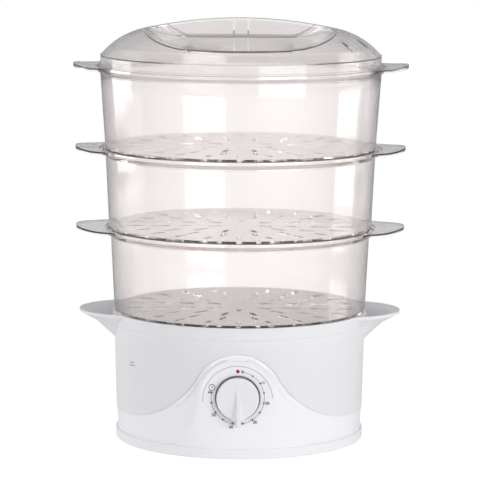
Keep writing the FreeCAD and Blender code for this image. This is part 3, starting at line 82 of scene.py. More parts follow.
def trough(x, z):
    """Depth of the trough under the wave's edge: a short dip, a bed and a steep rise to the lip."""
    x = abs(x)
    centre_x, centre_z = WAVE_HALF, WAVE_FLANK_TOP
    if centre_x * (z - WAVE_CROWN_Z) > (centre_z - WAVE_CROWN_Z) * x:
        below = WAVE_CROWN - math.hypot(x, z - WAVE_CROWN_Z)
    else:
        below = math.hypot(centre_x - x, centre_z - z) - WAVE_FLANK_BEND
    notch = 1 - step_up(x, NOTCH_HALF - NOTCH_FADE, NOTCH_HALF + NOTCH_FADE)
    lip = TROUGH_WIDE + NOTCH_DEPTH * notch
    rise = min(max((below - TROUGH_BED) / (lip - TROUGH_BED), 0.0), 1.0)
    deep = step_up(below, 0.0, TROUGH_DIP) * (1 - rise * rise)
    return TROUGH_DEEP * deep * (1 - step_up(x, TROUGH_FADE_FROM, TROUGH_FADE_TO))


def blend_low(a, b, width):
    """The lower of two surfaces, with a rounded corner where they cross."""
    near = max(width - abs(a - b), 0.0) / width
    return min(a, b) - near * near * width / 4


def shell_radius(angle, z):
    """Distance from the steamer's axis to the shell: the round wall and the dial boss on it."""
    round_wall = SHELL_RADIUS + (z - SHELL_FOOT) * SHELL_FLARE
    if abs(angle) > BOSS_ANGLE:
        return round_wall
    s, c = abs(math.sin(angle)), math.cos(angle)
    if z < DIAL_Z:
        k = (ROOT_HALF + (DIAL_Z - z) * LEG_SPLAY - FACE_HALF) / FLANK_DEPTH
        flank = (FACE_HALF + k * DIAL_FACE) / (s + k * c)
    else:
        k = (ROOT_HALF - FACE_HALF) / FLANK_DEPTH
        reach = FACE_HALF + k * DIAL_FACE
        b = 2 * reach * k * c
        rest = reach**2 - (z - DIAL_Z) ** 2
        flank = 2 * rest / (b + math.sqrt(max(b * b + 4 * (s * s - (k * c) ** 2) * rest, 0.0)))
    if z < TOE_TOP_Z:
        turn = SHELL_FOOT + (TOE_TOP_Z - SHELL_FOOT) * TOE_HOLLOW / (TOE_BULGE + TOE_HOLLOW)
        if z > turn:
            toe = TOE_TOP - TOE_BULGE + math.sqrt(TOE_BULGE**2 - (TOE_TOP_Z - z) ** 2)
        else:
            toe = SHELL_RADIUS + TOE_HOLLOW - math.sqrt(TOE_HOLLOW**2 - (z - SHELL_FOOT) ** 2)
        flank = blend_low(flank, toe, TOE_BLEND)
    low = step_up(-z, -BLEND_GROWS_FROM, -BLEND_GROWS_TO)
    root = ROOT_BLEND + (ROOT_BLEND_LOW - ROOT_BLEND) * low
    edge = EDGE_BLEND + (EDGE_BLEND_LOW - EDGE_BLEND) * low
    return blend_low(DIAL_FACE / c, -blend_low(-round_wall, -flank, root), edge)


def shell_column(angle):
    """The shell's section at one angle, as a closed loop of radius and height."""
    top = SHELL_SHOULDER
    front = math.cos(angle) > 0
    if front:
        for _ in range(TOP_TRIES):
            x = shell_radius(angle, top) * math.sin(angle)
            top += (wave_top(x) - top) * TOP_EASE
    low = top - SHELL_EDGE
    loop = []
    for i in range(OUTER_STEPS + 1):
        z = SHELL_FOOT + (low - SHELL_FOOT) * i / OUTER_STEPS
        radius = shell_radius(angle, z)
        if front:
            radius -= trough(radius * math.sin(angle), z)
        loop.append((radius, z))
    edge = loop[-1][0]
    for i in range(1, EDGE_STEPS + 1):
        a = math.radians(90 * i / EDGE_STEPS)
        loop.append((edge - SHELL_EDGE * (1 - math.cos(a)), low + SHELL_EDGE * math.sin(a)))
    for i in range(INNER_STEPS + 1):
        z = top + (SHELL_FOOT - top) * i / INNER_STEPS
        loop.append((shell_radius(angle, min(z, low)) - SHELL_WALL, z))
    return loop


def mesh_of(shape, name):
    """The mesh that a bmesh was built for; the bmesh is freed."""
    mesh = bpy.data.meshes.new(name)
    shape.to_mesh(mesh)
    shape.free()
    return mesh


def swept(loops, name):
    """A closed skin through section loops that run round an axis and meet again."""
    shape = bmesh.new()
    rows = [[shape.verts.new(spot) for spot in loop] for loop in loops]
    for here, there in zip(rows, rows[1:] + rows[:1]):
        for i in range(len(here)):
            shape.faces.new((here[i - 1], there[i - 1], there[i], here[i]))
    bmesh.ops.recalc_face_normals(shape, faces=shape.faces)
    return mesh_of(shape, name)


def shell_mesh():
    """The whole shell: columns close together over the boss and wider apart behind it."""
    fine = [math.radians(i * FINE_STEP) for i in range(-FINE_COUNT, FINE_COUNT + 1)]
    coarse = [math.radians(COARSE_FROM + COARSE_STEP * i) for i in range(1, COARSE_COUNT + 1)]
    columns = []
    for angle in fine + coarse:
        s, c = math.sin(angle) * MM, math.cos(angle) * MM
        columns.append([(r * s, -r * c, z * MM) for r, z in shell_column(angle)])
    return swept(columns, "housing_shell")


def rod(shape, radius, y0, y1, z, sides=48):
    """A round bar along Y, added to a bmesh, for the holes in the shell."""
    middle = Matrix.Translation((0, (y0 + y1) / 2 * MM, z * MM))
    turned = middle @ Matrix.Rotation(math.radians(90), 4, "X")
    bmesh.ops.create_cone(
        shape, cap_ends=True, segments=sides, radius1=radius * MM, radius2=radius * MM,
        depth=(y1 - y0) * MM, matrix=turned,
    )


def new_piece(name, mesh, mat=None):
    piece = bpy.data.objects.new(name, mesh)
    bpy.context.scene.collection.objects.link(piece)
    if mat:
        mesh.materials.clear()
        mesh.materials.append(mat)
    return piece


def plain_mesh(piece):
    """The piece's shape with its modifiers worked in, and the modifiers gone."""
    view = bpy.context.evaluated_depsgraph_get()
    view.update()
    worked = bpy.data.meshes.new_from_object(piece.evaluated_get(view))
    piece.modifiers.clear()
    piece.data = worked


def crisp(mesh, degrees):
    """Smooth shading between edges sharper than the given angle."""
    shape = bmesh.new()
    shape.from_mesh(mesh)
    limit = math.radians(degrees)
    for face in shape.faces:
        face.smooth = True
    for edge in shape.edges:
        edge.smooth = edge.is_manifold and edge.calc_face_angle(0.0) < limit
    shape.to_mesh(mesh)
    shape.free()


# Moulded plastic is never quite even: the colour drifts a little, the gloss varies where the melt
# cooled, and the skin has a faint ripple. One group gives these masks to every moulded finish.
RIPPLE_SCALE, RIPPLE_RISE, GRAIN_RISE = 22.0, 0.002, 0.0003


def moulded_skin_group():
    group = bpy.data.node_groups.new("moulded skin", "ShaderNodeTree")
    for name, kind, value in (
        ("Light", "NodeSocketColor", (0.8, 0.8, 0.8, 1)),
        ("Deep", "NodeSocketColor", (0.7, 0.7, 0.7, 1)),
        ("Gloss", "NodeSocketFloat", 0.2),
        ("Dull", "NodeSocketFloat", 0.3),
        ("Drift Scale", "NodeSocketFloat", 9.0),
        ("Grain Scale", "NodeSocketFloat", 900.0),
        ("Grain Depth", "NodeSocketFloat", 0.02),
        ("Ripple Depth", "NodeSocketFloat", 0.0),
    ):
        socket = group.interface.new_socket(name=name, in_out="INPUT", socket_type=kind)
        socket.default_value = value
    for name, kind in (("Color", "Color"), ("Roughness", "Float"), ("Normal", "Vector")):
        group.interface.new_socket(name=name, in_out="OUTPUT", socket_type="NodeSocket" + kind)
    n, link = group.nodes, group.links.new
    inp, out = n.new("NodeGroupInput"), n.new("NodeGroupOutput")
    place = n.new("ShaderNodeTexCoord")

    def noise(detail, scale):
        tex = n.new("ShaderNodeTexNoise")
        tex.inputs["Detail"].default_value = detail
        link(place.outputs["Object"], tex.inputs["Vector"])
        if isinstance(scale, str):
            link(inp.outputs[scale], tex.inputs["Scale"])
        else:
            tex.inputs["Scale"].default_value = scale
        return tex.outputs["Fac"]

    def mix(kind, mask, a, b, target):
        node = n.new("ShaderNodeMix")
        node.data_type = kind
        link(mask, node.inputs["Factor"])
        link(inp.outputs[a], node.inputs["A"])
        link(inp.outputs[b], node.inputs["B"])
        link(node.outputs["Result"], out.inputs[target])

    grain = noise(2.0, "Grain Scale")
    mix("RGBA", noise(3.0, "Drift Scale"), "Light", "Deep", "Color")
    mix("FLOAT", grain, "Gloss", "Dull", "Roughness")
    wave, fine = n.new("ShaderNodeBump"), n.new("ShaderNodeBump")
    wave.inputs["Distance"].default_value = RIPPLE_RISE
    link(inp.outputs["Ripple Depth"], wave.inputs["Strength"])
    link(noise(1.0, RIPPLE_SCALE), wave.inputs["Height"])
    fine.inputs["Distance"].default_value = GRAIN_RISE
    link(inp.outputs["Grain Depth"], fine.inputs["Strength"])
    link(grain, fine.inputs["Height"])
    link(wave.outputs["Normal"], fine.inputs["Normal"])
    link(fine.outputs["Normal"], out.inputs["Normal"])
    return group


MOULDED_SKIN = moulded_skin_group()


def finish(name, light, deep, gloss, dull, plain=(), **skin):
    """A material whose shader takes its colour, roughness and normal from the moulded skin."""
    mat = bpy.data.materials.new(name)
    mat.use_nodes = True
    tree = mat.node_tree
    shader = tree.nodes["Principled BSDF"]
    group = tree.nodes.new("ShaderNodeGroup")
    group.node_tree = MOULDED_SKIN
    group.inputs["Light"].default_value = (*light, 1)
    group.inputs["Deep"].default_value = (*deep, 1)
    group.inputs["Gloss"].default_value = gloss
    group.inputs["Dull"].default_value = dull
    for key, value in skin.items():
        group.inputs[key.replace("_", " ").title()].default_value = value
    tree.links.new(group.outputs["Color"], shader.inputs["Base Color"])
    tree.links.new(group.outputs["Roughness"], shader.inputs["Roughness"])
    tree.links.new(group.outputs["Normal"], shader.inputs["Normal"])
    for key, value in dict(plain).items():
        shader.inputs[key].default_value = value
    return mat


white_plastic = finish(
    "white housing plastic", (0.865, 0.862, 0.895), (0.85, 0.846, 0.88), 0.26, 0.36,
    plain={"IOR": 1.49},
)
housing = new_piece("housing_shell", shell_mesh(), white_plastic)
holes = bmesh.new()
rod(holes, BUSH_HOLE, *DRILL_REAR, BUSH_Z)
rod(holes, SHAFT_HOLE, *DRILL_FRONT, DIAL_Z)
rod(holes, LENS_HOLE, *DRILL_FRONT, LENS_Z)
drills = new_piece("shell_drills", mesh_of(holes, "shell_holes"))
cut = housing.modifiers.new("holes", "BOOLEAN")
cut.operation, cut.solver, cut.object = "DIFFERENCE", "EXACT", drills
plain_mesh(housing)
bpy.data.objects.remove(drills)
crisp(housing.data, 40)
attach(housing, "base")
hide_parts("base_housing")


# The cover closes the underside and shows as a narrow pale grey band under the shell. Like the
# tank and the clear pieces further down, it keeps its moulded shape and gets its final skin.
def moulding(node, name, mat, body, crease=35.0):
    """A piece made from an engineered shell: joined facets and smooth faces between crisp edges."""
    mesh = nodes[node].data.copy()
    shape = bmesh.new()
    shape.from_mesh(mesh)
    bmesh.ops.remove_doubles(shape, verts=shape.verts, dist=1e-6)
    bmesh.ops.dissolve_degenerate(shape, edges=shape.edges, dist=1e-6)
    shape.to_mesh(mesh)
    shape.free()
    crisp(mesh, crease)
    piece = new_piece(name, mesh, mat)
    even = piece.modifiers.new("even shading", "WEIGHTED_NORMAL")
    even.mode, even.keep_sharp = "FACE_AREA_WITH_ANGLE", True
    plain_mesh(piece)
    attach(piece, body)
    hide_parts(node)


grey_plastic = finish(
    "pale grey cover plastic", (0.84, 0.84, 0.87), (0.82, 0.82, 0.85), 0.32, 0.42
)
moulding("bottom_cover", "cover_shell", grey_plastic, "base")

# The knob is white and turns on the movement's shaft. Its wedge grip rises to a narrow crest and
# runs out past the disc as a pointer over the scale.
knob_plastic = finish(
    "white knob plastic", (0.80, 0.797, 0.835), (0.785, 0.782, 0.82), 0.22, 0.30,
    grain_depth=0.0,
)
moulding("timer_knob", "knob_body", knob_plastic, "knob", 32.0)

# A thin dark ring is pressed into the dial face round the knob and stands 2 mm proud of it.
# It is turned from one profile with rounded shoulders. Its dark colour is partly painted shade:
# it also stands for the shadow in the gap round the knob.
RING_IN, RING_OUT, RING_FRONT, RING_BACK, RING_ROUND = 19.35, 20.25, 120.3, 117.2, 0.2
RING_STEPS = 128
ring_plastic_and_gap_shade = finish("dark ring and gap shade", (0.10, 0.098, 0.12), (0.085, 0.083, 0.105), 0.35, 0.45)
ring_profile = [
    (RING_IN, RING_BACK), (RING_IN, RING_FRONT - RING_ROUND), (RING_IN + RING_ROUND, RING_FRONT),
    (RING_OUT - RING_ROUND, RING_FRONT), (RING_OUT, RING_FRONT - RING_ROUND), (RING_OUT, RING_BACK),
]
ring_loops = []
for i in range(RING_STEPS):
    a = 2 * math.pi * i / RING_STEPS
    s, c = math.sin(a), math.cos(a)
    ring_loops.append([(r * s * MM, -y * MM, (DIAL_Z + r * c) * MM) for r, y in ring_profile])
bezel = new_piece("bezel_ring", swept(ring_loops, "bezel_ring"), ring_plastic_and_gap_shade)
crisp(bezel.data, 50)
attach(bezel, "base")
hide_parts("knob_bezel")

# The red lens over the neon lamp shows that the heater is on. It is clear red acrylic with a low
# dome, pressed into the face above the knob.
red_lens = finish(
    "red lens plastic", (0.38, 0.004, 0.055), (0.30, 0.003, 0.045), 0.10, 0.16,
    plain={"Coat Weight": 0.4},
)
moulding("indicator_lens", "lamp_lens", red_lens, "base")

# The scale is pad-printed on the dial face in dark grey ink: a dot for each minute, larger dots
# every five, set out round the timer's axis from just right of the lamp.
PRINT_LIFT = 0.03
DOT_RING, DOT_FIRST, DOT_STEP, DOT_COUNT = 23.9, 11.25, 4.5, 61
DOT_SMALL, DOT_BIG, BIG_EVERY, DOT_SIDES = 0.42, 0.84, 5, 14
ink = finish("dark grey ink", (0.012, 0.012, 0.018), (0.02, 0.02, 0.03), 0.45, 0.6)


def minute_dots():
    tree = bpy.data.node_groups.new("minute dots", "GeometryNodeTree")
    face = tree.interface
    face.new_socket(name="Geometry", in_out="OUTPUT", socket_type="NodeSocketGeometry")
    for name, kind in (
        ("Dots", "Int"), ("Ring", "Float"), ("First", "Float"), ("Step", "Float"),
        ("Small", "Float"), ("Big", "Float"), ("Face", "Float"), ("Axis Height", "Float"),
        ("Ink", "Material"),
    ):
        face.new_socket(name=name, in_out="INPUT", socket_type="NodeSocket" + kind)
    n, link = tree.nodes, tree.links.new
    inp, out = n.new("NodeGroupInput"), n.new("NodeGroupOutput")

    def work_out(operation, a, b):
        node = n.new("ShaderNodeMath")
        node.operation = operation
        for socket, value in zip(node.inputs, (a, b)):
            if isinstance(value, (int, float)):
                socket.default_value = value
            elif value is not None:
                link(value, socket)
        return node.outputs[0]

    index = n.new("GeometryNodeInputIndex").outputs[0]
    angle = work_out("ADD", inp.outputs["First"], work_out("MULTIPLY", index, inp.outputs["Step"]))
    spot = n.new("ShaderNodeCombineXYZ")
    link(work_out("MULTIPLY", inp.outputs["Ring"], work_out("SINE", angle, None)), spot.inputs["X"])
    link(inp.outputs["Face"], spot.inputs["Y"])
    rise = work_out("MULTIPLY", inp.outputs["Ring"], work_out("COSINE", angle, None))
    link(work_out("ADD", inp.outputs["Axis Height"], rise), spot.inputs["Z"])
    points = n.new("GeometryNodePoints")
    link(inp.outputs["Dots"], points.inputs["Count"])
    link(spot.outputs[0], points.inputs["Position"])
    is_big = work_out("LESS_THAN", work_out("MODULO", index, BIG_EVERY), 0.5)
    extra = work_out("SUBTRACT", inp.outputs["Big"], inp.outputs["Small"])
    extra = work_out("MULTIPLY", is_big, extra)
    size = work_out("ADD", inp.outputs["Small"], extra)
    dot = n.new("GeometryNodeMeshCircle")
    dot.fill_type = "NGON"
    dot.inputs["Vertices"].default_value = DOT_SIDES
    dot.inputs["Radius"].default_value = 1.0
    place = n.new("GeometryNodeInstanceOnPoints")
    link(points.outputs[0], place.inputs["Points"])
    link(dot.outputs[0], place.inputs["Instance"])
    link(size, place.inputs["Scale"])
    place.inputs["Rotation"].default_value = (math.radians(90), 0, 0)
    real, paint = n.new("GeometryNodeRealizeInstances"), n.new("GeometryNodeSetMaterial")
    link(place.outputs[0], real.inputs[0])
    link(real.outputs[0], paint.inputs["Geometry"])
    link(inp.outputs["Ink"], paint.inputs["Material"])
    link(paint.outputs[0], out.inputs[0])
    return tree


dots = new_piece("dial_dots", bpy.data.meshes.new("dial_dots"))
row = dots.modifiers.new("minutes", "NODES")
row.node_group = minute_dots()
values = {
    "Dots": DOT_COUNT, "Ring": DOT_RING * MM, "First": math.radians(DOT_FIRST),
    "Step": math.radians(DOT_STEP), "Small": DOT_SMALL * MM, "Big": DOT_BIG * MM,
    "Face": -(DIAL_FACE + PRINT_LIFT) * MM, "Axis Height": DIAL_Z * MM, "Ink": ink,
}
for socket in row.node_group.interface.items_tree:
    if socket.in_out == "INPUT":
        row[socket.identifier] = values[socket.name]
plain_mesh(dots)
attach(dots, "base")

# Numbers in tens stand upright outside the dots, and a small clock sign stands beside the 60.
# They come from the same printing pad and the same ink.
NUMBER_SIZE, NUMBER_STROKE = 3.6, 0.045
NUMBERS = {
    "0": (3.7, 23.9), "10": (22.2, 13.8), "20": (26.6, -4.8), "30": (15.6, -22.2),
    "40": (-5.8, -26.8), "50": (-21.5, -15.8), "60": (-25.0, 5.0),
}
CLOCK_X, CLOCK_Z, CLOCK_ROUND, CLOCK_LINE = -23.1, 9.4, 3.0, 0.5
LONG_HAND, SHORT_HAND = 1.7, 1.2


def on_dial(x, z):
    """A point on the dial face, lifted by the ink."""
    return Vector((x * MM, -(DIAL_FACE + PRINT_LIFT) * MM, (DIAL_Z + z) * MM))


numbers = bmesh.new()
for text, (x, z) in NUMBERS.items():
    curve = bpy.data.curves.new("number " + text, "FONT")
    curve.body, curve.size = text, NUMBER_SIZE * MM
    curve.align_x, curve.align_y = "CENTER", "CENTER"
    curve.offset = NUMBER_STROKE * MM
    holder = bpy.data.objects.new("number " + text, curve)
    flat = bpy.data.meshes.new_from_object(holder)
    flat.transform(Matrix.Translation(on_dial(x, z)) @ Matrix.Rotation(math.radians(90), 4, "X"))
    numbers.from_mesh(flat)
    bpy.data.objects.remove(holder)


def flat_ring(shape, x, z, inner, outer, start=0.0, end=360.0, steps=48, place=on_dial):
    """A printed line on the dial that follows a circle, from one clock angle to another."""
    whole = end - start >= 360
    pairs = []
    for i in range(steps + (0 if whole else 1)):
        a = math.radians(start + (end - start) * i / steps)
        spots = [(x + r * math.sin(a), z + r * math.cos(a)) for r in (inner, outer)]
        pairs.append([shape.verts.new(place(*spot)) for spot in spots])
    for here, there in zip(pairs, pairs[1:] + (pairs[:1] if whole else [])):
        shape.faces.new((here[0], there[0], there[1], here[1]))


def flat_bar(shape, a, b, width):
    """A printed straight line on the dial between two points."""
    along = Vector((b[0] - a[0], b[1] - a[1])).normalized() * width / 2
    side = Vector((-along.y, along.x))
    ends = [(a, side), (b, side), (b, -side), (a, -side)]
    spots = [on_dial(p[0] + s.x, p[1] + s.y) for p, s in ends]
    shape.faces.new([shape.verts.new(spot) for spot in spots])


def face_front(shape):
    """Turns every face of a print towards the front."""
    for face in shape.faces:
        face.normal_update()
        if face.normal.y > 0:
            face.normal_flip()


flat_ring(numbers, CLOCK_X, CLOCK_Z, CLOCK_ROUND - CLOCK_LINE, CLOCK_ROUND)
flat_bar(numbers, (CLOCK_X, CLOCK_Z), (CLOCK_X, CLOCK_Z + LONG_HAND), CLOCK_LINE)
flat_bar(numbers, (CLOCK_X, CLOCK_Z), (CLOCK_X + SHORT_HAND, CLOCK_Z), CLOCK_LINE)
face_front(numbers)
number_print = new_piece("dial_numbers", mesh_of(numbers, "dial_numbers"), ink)
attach(number_print, "base")

# A fine grey line is printed over the top of the scale, just inside the edge of the face. It
# lies on the moulded skin, also where that skin begins to round over.
ARC_DROP, ARC_ROUND, ARC_LINE = -2.5, 31.3, 0.5
ARC_FROM, ARC_TO, ARC_STEPS, SKIN_TRIES = -93.0, 86.0, 96, 12
grey_ink = finish("mid grey ink", (0.30, 0.30, 0.34), (0.36, 0.36, 0.40), 0.45, 0.6)


def on_skin(x, z):
    """The point of the shell's front over a place on the dial, lifted by the ink."""
    y = DIAL_FACE
    for _ in range(SKIN_TRIES):
        angle = math.atan2(x, y)
        y = math.sqrt(max(shell_radius(angle, DIAL_Z + z) ** 2 - x * x, 1.0))
    return Vector((x * MM, -(y + PRINT_LIFT) * MM, (DIAL_Z + z) * MM))


arc = bmesh.new()
arc_edges = ARC_ROUND - ARC_LINE / 2, ARC_ROUND + ARC_LINE / 2
flat_ring(arc, 0, ARC_DROP, *arc_edges, ARC_FROM, ARC_TO, ARC_STEPS, on_skin)
face_front(arc)
arc_print = new_piece("dial_arc", mesh_of(arc, "dial_arc"), grey_ink)
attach(arc_print, "base")

# The tank is frosted polypropylene: a milky skin that light sinks into a little, so the works
# behind it never show as more than a soft shade. It drops over the shell and carries the stack.
frosted_plastic = finish(
    "frosted tank plastic", (0.80, 0.795, 0.82), (0.78, 0.773, 0.80), 0.30, 0.42,
    plain={"IOR": 1.49, "Subsurface Weight": 0.25, "Subsurface Scale": 0.006},
)
frosted_shader = frosted_plastic.node_tree.nodes["Principled BSDF"]
frosted_shader.inputs["Subsurface Radius"].default_value = (1.0, 0.95, 0.98)
moulding("water_tank", "tank_shell", frosted_plastic, "base")

# Fill marks are printed on the tank's left side: a short line over a longer one.
# They follow the round wall in the dial's ink.
TANK_RADIUS, TANK_FLARE, MARK_LIFT = 114.5, 0.0255, 0.05
MARK_ANGLE, MARK_Z, MARK_LINE, MARK_STEPS = -57.0, 80.0, 0.55, 6
MARKS = ((0.0, 1.6), (-2.6, 2.2))  # drop below the upper line, and half its length in degrees


def tank_wall(angle, z):
    """A point on the tank's round wall, lifted by the ink."""
    radius = TANK_RADIUS + (z - SHELL_SHOULDER) * TANK_FLARE + MARK_LIFT
    return Vector((radius * math.sin(angle), -radius * math.cos(angle), z)) * MM


marks = bmesh.new()
for drop, half in MARKS:
    rungs = []
    z = MARK_Z + drop
    for i in range(MARK_STEPS + 1):
        turn = math.radians(MARK_ANGLE + (2 * i / MARK_STEPS - 1) * half)
        rungs.append([marks.verts.new(tank_wall(turn, z + s * MARK_LINE / 2)) for s in (-1, 1)])
    for here, there in zip(rungs, rungs[1:]):
        marks.faces.new((here[0], there[0], there[1], here[1]))
fill_marks = new_piece("fill_marks", mesh_of(marks, "fill_marks"), ink)
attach(fill_marks, "base")


# Baskets and lid are injection-moulded clear plastic, a little warm, that darkens where the wall is
# seen edge on: partly the longer path through the wall, partly painted shade that stands for the
# dark room reflected there. Upright walls darken most and the flat ears and floors less.
def edge_on_tint_and_painted_shade(mat, edge, power, flat_clearer, tint):
    """Paints shade into a clear plastic towards grazing view over its edge-on tint, and lets lamp
    light through with a tint.
    """
    tree = mat.node_tree
    link = tree.links.new
    shader = tree.nodes["Principled BSDF"]
    skin = shader.inputs["Base Color"].links[0].from_socket
    graze, bend, shade = (
        tree.nodes.new("ShaderNode" + kind) for kind in ("LayerWeight", "Math", "Mix")
    )
    graze.inputs["Blend"].default_value = 0.5
    bend.operation = "POWER"
    bend.inputs[1].default_value = power
    shade.data_type = "RGBA"
    shade.inputs["B"].default_value = (*edge, 1)
    place, split, level, less = (
        tree.nodes.new("ShaderNode" + kind) for kind in ("TexCoord", "SeparateXYZ", "Math", "Math")
    )
    level.operation, less.operation = "ABSOLUTE", "MULTIPLY_ADD"
    less.inputs[1].default_value, less.inputs[2].default_value = -flat_clearer, 1.0
    both = tree.nodes.new("ShaderNodeMath")
    both.operation = "MULTIPLY"
    link(place.outputs["Normal"], split.inputs[0])
    link(split.outputs["Z"], level.inputs[0])
    link(level.outputs[0], less.inputs[0])
    link(graze.outputs["Facing"], bend.inputs[0])
    link(bend.outputs[0], both.inputs[0])
    link(less.outputs[0], both.inputs[1])
    link(both.outputs[0], shade.inputs["Factor"])
    link(skin, shade.inputs["A"])
    link(shade.outputs["Result"], shader.inputs["Base Color"])
    rays, clear, mix = (
        tree.nodes.new("ShaderNode" + kind)
        for kind in ("LightPath", "BsdfTransparent", "MixShader")
    )
    clear.inputs["Color"].default_value = (*tint, 1)
    link(rays.outputs["Is Shadow Ray"], mix.inputs["Fac"])
    link(shader.outputs["BSDF"], mix.inputs[1])
    link(clear.outputs["BSDF"], mix.inputs[2])
    link(mix.outputs["Shader"], tree.nodes["Material Output"].inputs["Surface"])


# Each clear finish gets a grazing colour: painted shade over the real edge-on tint of its wall.
clear_plastic = finish(
    "clear basket plastic", (0.975, 0.947, 0.944), (0.96, 0.93, 0.927), 0.03, 0.07,
    plain={"IOR": 1.46, "Transmission Weight": 0.97}, ripple_depth=0.04,
)
edge_on_tint_and_painted_shade(clear_plastic, (0.27, 0.24, 0.245), 1.8, 0.6, (0.93, 0.92, 0.92))
lid_plastic = finish(
    "clear lid plastic", (0.885, 0.862, 0.858), (0.855, 0.832, 0.828), 0.04, 0.08,
    plain={"IOR": 1.5, "Transmission Weight": 0.93}, ripple_depth=0.04,
)
edge_on_tint_and_painted_shade(lid_plastic, (0.50, 0.475, 0.48), 1.7, 0.2, (0.88, 0.87, 0.87))
hazed_plastic = finish(
    "hazed tray plastic", (0.90, 0.885, 0.88), (0.86, 0.845, 0.84), 0.12, 0.2,
    plain={"IOR": 1.5, "Transmission Weight": 0.8}, ripple_depth=0.05,
)
edge_on_tint_and_painted_shade(hazed_plastic, (0.6, 0.585, 0.58), 2.0, 0.5, (0.8, 0.79, 0.79))
for body, name, mat, slot in (
    ("turbo_ring", "turbo_funnel", hazed_plastic, "tray_plastic"),
    ("drip_tray", "juice_tray", hazed_plastic, "tray_plastic"),
    ("lower_basket", "basket_low", clear_plastic, "clear_plastic"),
    ("middle_basket", "basket_mid", clear_plastic, "clear_plastic"),
    ("upper_basket", "basket_top", clear_plastic, "clear_plastic"),
    ("lid", "lid_dome", lid_plastic, "clear_plastic"),
):
    moulding(body, name, mat, body)

# The works inside keep their engineered shapes and get plain shop finishes: zinc on the screws
# and clamp, cast aluminium on the dish, black on the movement, brass in the terminals.
METAL = {"Metallic": 1.0}
works = {
    "rubber_feet": finish("foot rubber", (0.22, 0.22, 0.23), (0.18, 0.18, 0.19), 0.6, 0.75),
    "cord_bush": finish("bush rubber", (0.62, 0.62, 0.64), (0.58, 0.58, 0.6), 0.55, 0.7),
    "cover_screws": finish("zinc screw", (0.60, 0.61, 0.62), (0.5, 0.51, 0.53), 0.25, 0.4, METAL),
    "heater_plate": finish("cast dish", (0.62, 0.62, 0.63), (0.5, 0.5, 0.51), 0.35, 0.5, METAL),
    "heater_seal": finish("seal silicone", (0.60, 0.58, 0.55), (0.55, 0.53, 0.5), 0.5, 0.65),
    "heater_clamp": finish("pressed clamp", (0.60, 0.61, 0.62), (0.5, 0.51, 0.53), 0.3, 0.4, METAL),
    "heating_element": finish(
        "element sheath", (0.45, 0.44, 0.43), (0.36, 0.35, 0.35), 0.35, 0.5, METAL
    ),
    "thermostat": finish(
        "thermostat can", (0.65, 0.65, 0.66), (0.58, 0.58, 0.59), 0.25, 0.35, METAL
    ),
    "thermal_fuse": finish("fuse sleeve", (0.80, 0.78, 0.7), (0.76, 0.74, 0.66), 0.5, 0.6),
    "timer_movement": finish("movement case", (0.16, 0.16, 0.17), (0.13, 0.13, 0.14), 0.35, 0.5),
    "timer_bell": finish("bell steel", (0.70, 0.70, 0.71), (0.62, 0.62, 0.63), 0.15, 0.25, METAL),
    "neon_lamp": finish("lamp glass", (0.85, 0.5, 0.38), (0.8, 0.45, 0.34), 0.05, 0.1),
    "terminal_block": finish("block plastic", (0.78, 0.77, 0.70), (0.74, 0.73, 0.66), 0.4, 0.5),
    "terminal_clamps": finish(
        "clamp brass", (0.75, 0.57, 0.27), (0.66, 0.48, 0.2), 0.25, 0.4, METAL
    ),
    "internal_leads": finish("lead insulation", (0.5, 0.08, 0.08), (0.44, 0.06, 0.06), 0.4, 0.5),
}
works["clamp_screws"] = works["timer_screws"] = works["timer_shaft"] = works["cover_screws"]
for node, mat in works.items():
    nodes[node].data.materials.clear()
    nodes[node].data.materials.append(mat)


# The steamer stands on a white table that runs back into a white room. Both stay white to the eye
# and through clear walls; gloss sees a bright wide window in front and a dimmer room behind.
def combine(tree, operation, a, b):
    """Two values worked into one by a Math node."""
    node = tree.nodes.new("ShaderNodeMath")
    node.operation = operation
    tree.links.new(a, node.inputs[0])
    tree.links.new(b, node.inputs[1])
    return node.outputs[0]


def seen(tree, rays):
    """1 for rays that reach the eye straight or through clear walls."""
    return combine(tree, "MAXIMUM", rays["Is Camera Ray"], rays["Is Transmission Ray"])


def ramp(tree, source, low, high, at_low, at_high):
    """A value that runs from one level to another while its source runs from low to high."""
    node = tree.nodes.new("ShaderNodeMapRange")
    ends = {"From Min": low, "From Max": high, "To Min": at_low, "To Max": at_high}
    for key, value in ends.items():
        node.inputs[key].default_value = value
    tree.links.new(source, node.inputs["Value"])
    return node.outputs["Result"]


def pick(tree, chooser, a, b):
    """The first value where the chooser is 0 and the second where it is 1."""
    node = tree.nodes.new("ShaderNodeMix")
    tree.links.new(chooser, node.inputs["Factor"])
    for socket, value in (("A", a), ("B", b)):
        if isinstance(value, float):
            node.inputs[socket].default_value = value
        else:
            tree.links.new(value, node.inputs[socket])
    return node.outputs["Result"]


TABLE_HALF, TABLE_GREY, TABLE_ROUGH = 6.0, 0.55, 0.9
TABLE_GLOW_SEEN, TABLE_GLOW_GLOSS, TABLE_GLOW = 0.74, 0.05, 0.45
table_mesh = bpy.data.meshes.new("table")
corners = [(x * TABLE_HALF, y * TABLE_HALF, 0) for x, y in ((-1, -1), (1, -1), (1, 1), (-1, 1))]
table_mesh.from_pydata(corners, [], [(0, 1, 2, 3)])
table_mat = bpy.data.materials.new("pale table")
table_mat.use_nodes = True
tree = table_mat.node_tree
shader = tree.nodes["Principled BSDF"]
shader.inputs["Base Color"].default_value = (TABLE_GREY, TABLE_GREY, TABLE_GREY, 1)
shader.inputs["Roughness"].default_value = TABLE_ROUGH
shader.inputs["Specular IOR Level"].default_value = 0.0
shader.inputs["Emission Color"].default_value = (1, 1, 1, 1)
rays = tree.nodes.new("ShaderNodeLightPath").outputs
glow = pick(tree, rays["Is Glossy Ray"], TABLE_GLOW, TABLE_GLOW_GLOSS)
glow = pick(tree, seen(tree, rays), glow, TABLE_GLOW_SEEN)
tree.links.new(glow, shader.inputs["Emission Strength"])
new_piece("table", table_mesh, table_mat)

